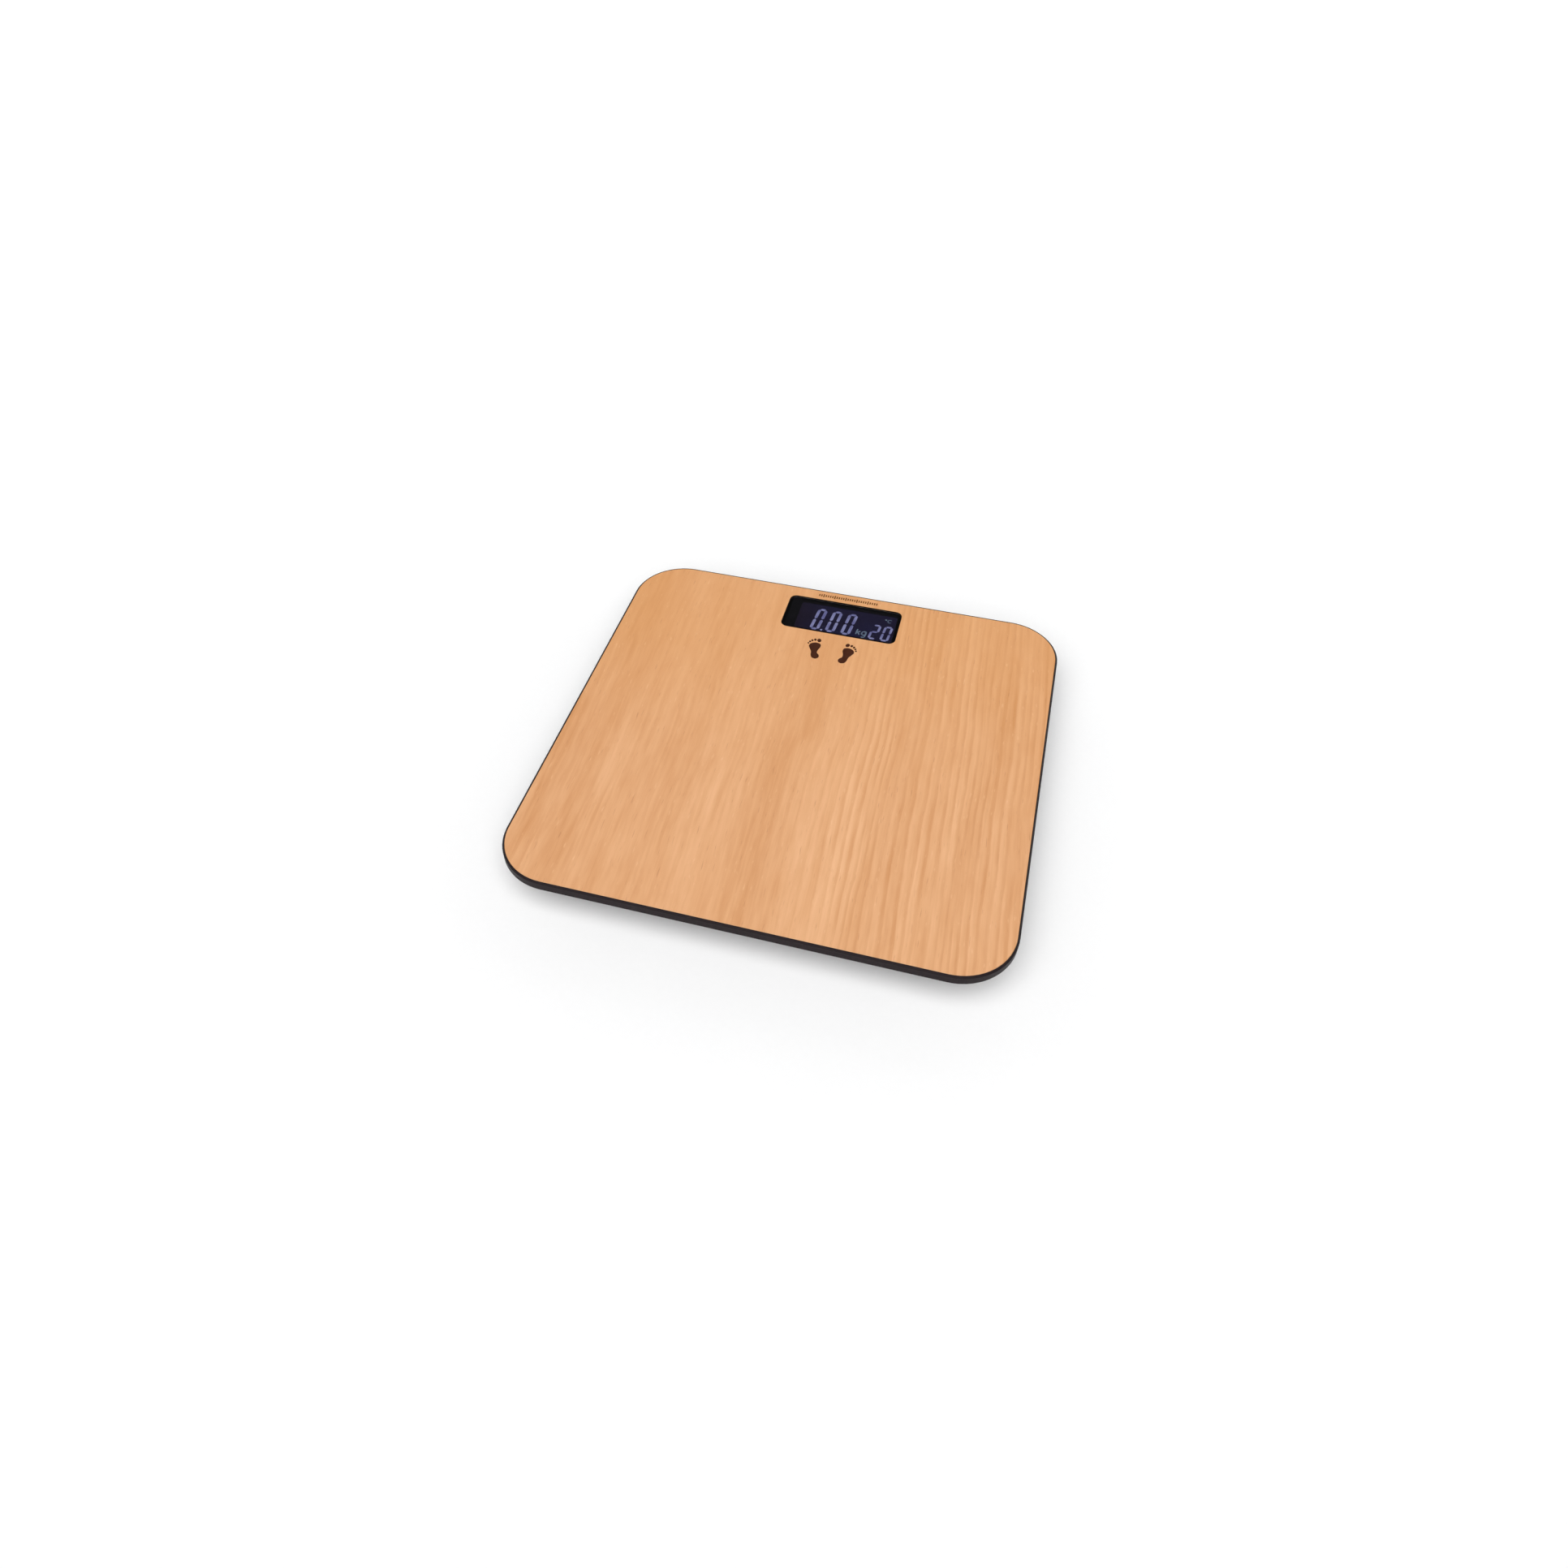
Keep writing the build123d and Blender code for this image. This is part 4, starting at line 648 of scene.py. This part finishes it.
def new_piece(name, bm, material, body):
    """Make the mesh an object that rides on a body, or on none where it is to be blended."""
    bmesh.ops.recalc_face_normals(bm, faces=bm.faces)
    mesh = bpy.data.meshes.new(name)
    bm.to_mesh(mesh)
    bm.free()
    mesh.materials.append(material)
    piece = bpy.data.objects.new(name, mesh)
    bpy.context.scene.collection.objects.link(piece)
    if body:
        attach(piece, body)
    return piece


def bar(start, end, stroke):
    """A bar with pointed ends between two points, as in a seven-segment numeral."""
    along = (Vector(end) - Vector(start)).normalized()
    side = Vector((-along.y, along.x)) * stroke / 2
    tip = along * stroke / 2
    first, last = Vector(start), Vector(end)
    return [first, first + tip - side, last - tip - side, last, last - tip + side, first + tip + side]


def slanted(outline, base, left):
    """An outline leant over to the right and put in its place on the display."""
    return [(left + x + SLANT * y, base + y) for x, y in outline]


def numeral(character, width, height, stroke):
    """Outlines of the lit bars of one numeral, from its lower left corner."""
    half = stroke / 2
    gap = 0.12 * stroke
    left, right, middle = half, width - half, height / 2
    low, high = half, height - half
    ends = {
        "a": ((left + gap, high), (right - gap, high)), "b": ((right, high - gap), (right, middle + gap)),
        "c": ((right, middle - gap), (right, low + gap)), "d": ((left + gap, low), (right - gap, low)),
        "e": ((left, middle - gap), (left, low + gap)), "f": ((left, high - gap), (left, middle + gap)),
        "g": ((left + gap, middle), (right - gap, middle)),
    }
    return [bar(*ends[segment], stroke) for segment in SEGMENTS_OF[character]]


def numerals(text, style):
    """Outlines of all lit bars of a row of numerals."""
    outlines = []
    for place, character in enumerate(text):
        for outline in numeral(character, style["width"], style["height"], style["stroke"]):
            outlines.append(slanted(outline, style["base"], style["left"] + place * style["pitch"]))
    return outlines


def strokes(lines, left, base, stroke):
    """Bars along polylines, for the unit symbols."""
    outlines = []
    for line in lines:
        for start, end in zip(line, line[1:]):
            outlines.append(slanted(bar(start, end, stroke), base, left))
    return outlines


def display_pieces():
    """The printed mask behind the pane and the lit symbols on the glass."""
    pane_low, pane_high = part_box("display_window")
    glass_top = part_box("lcd_glass")[1].z
    margin = MASK_MARGIN
    outer = rounded_rectangle(
        (pane_low.x / MM + margin, pane_high.x / MM - margin),
        (pane_low.y / MM + margin, pane_high.y / MM - margin), MASK_CORNERS[0])
    inner = rounded_rectangle(*MASK_OPENING, MASK_CORNERS[1])
    bm = bmesh.new()
    mask_top = pane_low.z - MASK_GAP * MM
    add_frame(bm, in_metres(outer), in_metres(inner), mask_top - INK * MM, mask_top)
    new_piece("display_mask", bm, mask_ink(), "platform")

    pale = lit_segment("segment_pale", colour(174, 175, 210), colour(118, 118, 164), 1.0)
    teal = lit_segment("segment_teal", colour(124, 142, 150), colour(100, 116, 130), 1.2)
    right, above, radius = DECIMAL_POINT
    first_end = WEIGHT_DIGITS["left"] + WEIGHT_DIGITS["width"]
    point = ellipse(first_end + right, WEIGHT_DIGITS["base"] + above, radius, radius)
    symbols = {
        "weight_numerals": (numerals("000", WEIGHT_DIGITS) + [point], pale),
        "weight_unit": (strokes(LETTER_K + LETTER_G, **WEIGHT_UNIT), teal),
        "temperature_numerals": (numerals("20", TEMPERATURE_DIGITS), pale),
        "temperature_unit": (strokes(LETTER_C + DEGREE, **TEMPERATURE_UNIT), teal),
    }
    low, high = (glass_top + level * MM for level in DIGIT_LEVELS)
    for name, (outlines, material) in symbols.items():
        bm = bmesh.new()
        for outline in outlines:
            add_prism(bm, in_metres(outline), low, high)
        new_piece(name, bm, material, "platform")


def deck_prints():
    """A pair of bare footprints below the display and a plain row of ticks above it."""
    deck_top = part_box("deck_panel")[1].z
    levels = (deck_top + INK_LIFT * MM, deck_top + INK * MM)
    bm = bmesh.new()
    shapes = [smooth_loop(SOLE)] + [ellipse(*toe) for toe in TOES]
    for side in (-1, 1):
        for shape in shapes:
            turned = [MARK_SIZE * (Vector(point) @ Matrix.Rotation(-MARK_TURN, 2)) for point in shape]
            placed = [(side * (MARK_OFFSET_X + point.x), MARK_BASE_Y + point.y) for point in turned]
            add_prism(bm, in_metres(placed), *levels)
    brown = deck_ink("footprint_ink", colour(50, 20, 6), colour(74, 34, 12))
    new_piece("footprint_mark", bm, brown, "platform")

    bm = bmesh.new()
    half_width, half_height = TICK_SIZE[0] / 2, TICK_SIZE[1] / 2
    for index in range(TICK_COUNT):
        x = (index - (TICK_COUNT - 1) / 2) * TICK_PITCH
        reach = half_height * (TALL_TICK if index % 5 == 2 else 1.0)
        tick = [(x - half_width, TICK_ROW_Y - reach), (x + half_width, TICK_ROW_Y - reach),
                (x + half_width, TICK_ROW_Y + reach), (x - half_width, TICK_ROW_Y + reach)]
        add_prism(bm, in_metres(tick), *levels)
    faded = deck_ink("tick_ink", colour(92, 54, 22), colour(124, 78, 36))
    new_piece("deck_ticks", bm, faded, "platform")


def door_grip(material):
    """Finger ridges and an arrow on the outside of the battery door."""
    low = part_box("battery_door")[0]
    length, width, height = RIDGE_SIZE
    bm = bmesh.new()
    levels = (low.z - height * MM, low.z + GRIP_ROOT * MM)
    for index in range(RIDGE_COUNT):
        y = low.y / MM + RIDGE_START + index * RIDGE_PITCH
        ridge = rounded_rectangle((-length / 2, length / 2), (y - width / 2, y + width / 2), RIDGE_END, 4)
        add_prism(bm, in_metres(ridge), *levels)
    tip_y = low.y / MM + RIDGE_START + (RIDGE_COUNT - 1) * RIDGE_PITCH + ARROW_GAP
    base_y = tip_y + ARROW_REACH
    arrow = [(0.0, tip_y), (ARROW_REACH, base_y), (-ARROW_REACH, base_y)]
    add_prism(bm, in_metres(arrow), *levels)
    outer_edges = [edge for edge in bm.edges if all(vert.co.z < low.z for vert in edge.verts)]
    bmesh.ops.bevel(bm, geom=outer_edges, offset=GRIP_EDGE * MM, segments=2, affect="EDGES")
    new_piece("door_grip", bm, material, "battery_lid")


def at_foot(middle, outline):
    """An outline about a foot's centre, its X growing outwards, in metres."""
    outwards = math.copysign(MM, middle.x)
    return [(middle.x + outwards * x, middle.y + MM * y) for x, y in outline]


def bending_piece(name, bm, material, node, bend):
    """A piece that stands for a node, cut across the bend and blended over it."""
    start, end = bend
    for step in range(TONGUE_CUTS + 1):
        bmesh.ops.bisect_plane(bm, geom=bm.verts[:] + bm.edges[:] + bm.faces[:],
                               plane_co=start.lerp(end, step / TONGUE_CUTS), plane_no=(1.0, 0.0, 0.0))
    piece = new_piece(name, bm, material, None)
    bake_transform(piece)
    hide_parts(node)


def load_cells(materials):
    """Each cell as a fixed plate and a tongue that bends as its foot rises, with the gauge on its root."""
    steel, foil = materials["nickel_plate"], materials["amber_foil"]
    root, free_end = TONGUE_ENDS
    reach = TONGUE_HALF_WIDTH + TONGUE_SLOT
    window = rounded_rectangle((root, free_end + TONGUE_SLOT), (-reach, reach), CUT_CORNER)
    tongue = rounded_rectangle(TONGUE_ENDS, (-TONGUE_HALF_WIDTH, TONGUE_HALF_WIDTH), CUT_CORNER)
    # nearly a full circle: its quarters stay a hair apart, so that no edge has a length of zero
    hole = rounded_rectangle((-PEG_HOLE, PEG_HOLE), (-PEG_HOLE, PEG_HOLE), 0.99 * PEG_HOLE)
    for corner in CORNERS:
        cell, body = f"load_cell_{corner}", f"foot_{corner}"
        low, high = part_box(cell)
        middle = (low + high) / 2
        bend = [Vector((x, y, high.z)) for x, y in at_foot(middle, [(x, 0.0) for x in TONGUE_BEND])]

        bm = bmesh.new()
        half_x, half_y = (high.x - low.x) / 2 / MM, (high.y - low.y) / 2 / MM
        plate = rounded_rectangle((-half_x, half_x), (-half_y, half_y), CELL_CORNER)
        add_frame(bm, at_foot(middle, plate), at_foot(middle, window), low.z, high.z)
        piece = new_piece(f"{cell}_plate", bm, steel, "platform")
        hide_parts(cell)

        bm = bmesh.new()
        add_frame(bm, at_foot(middle, tongue), at_foot(middle, hole), low.z, high.z)
        bending_piece(f"{cell}_tongue", bm, steel, cell, bend)

        bm = bmesh.new()
        for span, thickness in (GAUGE_FILM, GAUGE_TERMINALS):
            patch = rounded_rectangle(span, (-GAUGE_HALF_WIDTH, GAUGE_HALF_WIDTH), CUT_CORNER)
            add_prism(bm, at_foot(middle, patch), high.z, high.z + thickness * MM)
        bending_piece(f"strain_gauge_{corner}", bm, foil, "strain_gauges", bend)


# ---- studio ------------------------------------------------------------------------------------
def backdrop():
    """A pale floor that curves up into a low wall all round."""
    flat = BACKDROP_RADIUS - BACKDROP_BEND
    profile = [(BACKDROP_CORE, 0.0), (flat, 0.0)]
    for step in range(1, BACKDROP_BEND_STEPS + 1):
        angle = math.radians(90 * step / BACKDROP_BEND_STEPS)
        profile.append((flat + BACKDROP_BEND * math.sin(angle), BACKDROP_BEND * (1 - math.cos(angle))))
    profile.append((BACKDROP_RADIUS, BACKDROP_HEIGHT))
    bm = bmesh.new()
    centre = bm.verts.new((0.0, 0.0, -FLOOR_DROP))
    turns = [2 * math.pi * step / BACKDROP_STEPS for step in range(BACKDROP_STEPS)]
    rings = [[bm.verts.new((r * math.cos(t), r * math.sin(t), z - FLOOR_DROP)) for t in turns]
             for r, z in profile]
    for index in range(BACKDROP_STEPS):
        after = (index + 1) % BACKDROP_STEPS
        bm.faces.new((centre, rings[0][index], rings[0][after]))
        for inner, outer in zip(rings, rings[1:]):
            bm.faces.new((inner[index], outer[index], outer[after], inner[after]))
    mesh = bpy.data.meshes.new("backdrop")
    bm.to_mesh(mesh)
    bm.free()
    mesh.shade_smooth()
    surface = Surface("backdrop_paper", **{"Specular IOR Level": 0.0, "Roughness": 0.9})
    fibre = surface.noise((300.0,) * 3, 2.0)
    surface.feed("Base Color", surface.mix(fibre, grey(0.90), grey(0.92)))
    # seen from below the paper lets the view through, so that the underside can be looked at
    output = next(n for n in surface.tree.nodes if n.type == "OUTPUT_MATERIAL")
    side = surface.node("ShaderNodeNewGeometry").outputs["Backfacing"]
    clear = surface.node("ShaderNodeBsdfTransparent").outputs[0]
    one_sided = surface.node("ShaderNodeMixShader", {0: side, 1: surface.shader.outputs[0], 2: clear})
    surface.tree.links.new(one_sided.outputs[0], output.inputs["Surface"])
    mesh.materials.append(surface.material)
    floor = bpy.data.objects.new("backdrop", mesh)
    bpy.context.scene.collection.objects.link(floor)
    floor.visible_shadow = False


def lamp(name, kind, place, energy):
    """A lamp that points from its place to the origin."""
    made = bpy.data.lights.new(name, kind)
    made.energy = energy
    holder = bpy.data.objects.new(name, made)
    holder.location = place
    holder.rotation_euler = (-Vector(place)).to_track_quat("-Z", "Y").to_euler()
    bpy.context.scene.collection.objects.link(holder)
    return made


def lights():
    """Soft overhead daylight, a low lamp for the underside and a faint sky."""
    daylight = lamp("daylight", "SUN", DAYLIGHT_FROM, DAYLIGHT_STRENGTH)
    daylight.angle = DAYLIGHT_WIDTH
    place, width, power = UNDER_LIGHT
    lamp("under_light", "AREA", place, power).size = width
    world = bpy.data.worlds.new("studio")
    world.use_nodes = True
    background = world.node_tree.nodes["Background"]
    background.inputs["Color"].default_value = SKY
    background.inputs["Strength"].default_value = SKY_STRENGTH
    bpy.context.scene.world = world
    bpy.context.scene.view_settings.view_transform = "Standard"


def camera():
    """The photograph's view: from above, in front and a little to the right."""
    deck_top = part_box("deck_panel")[1].z
    aim = Vector((*CAMERA_AIM_OFFSET, deck_top))
    level = math.cos(CAMERA_ELEVATION)
    across, along = math.sin(CAMERA_AZIMUTH) * level, -math.cos(CAMERA_AZIMUTH) * level
    back = Vector((across, along, math.sin(CAMERA_ELEVATION)))
    data = bpy.data.cameras.new("camera")
    data.lens = CAMERA_LENS
    data.sensor_width = CAMERA_SENSOR
    data.shift_x = CAMERA_SHIFT_X
    data.clip_start, data.clip_end = CAMERA_CLIP
    holder = bpy.data.objects.new("camera", data)
    holder.location = aim + back * CAMERA_DISTANCE
    holder.rotation_euler = (-back).to_track_quat("-Z", "Y").to_euler()
    bpy.context.scene.collection.objects.link(holder)
    bpy.context.scene.camera = holder


materials = dress_nodes()
display_pieces()
deck_prints()
door_grip(materials["black_plastic"])
load_cells(materials)
backdrop()
lights()
camera()
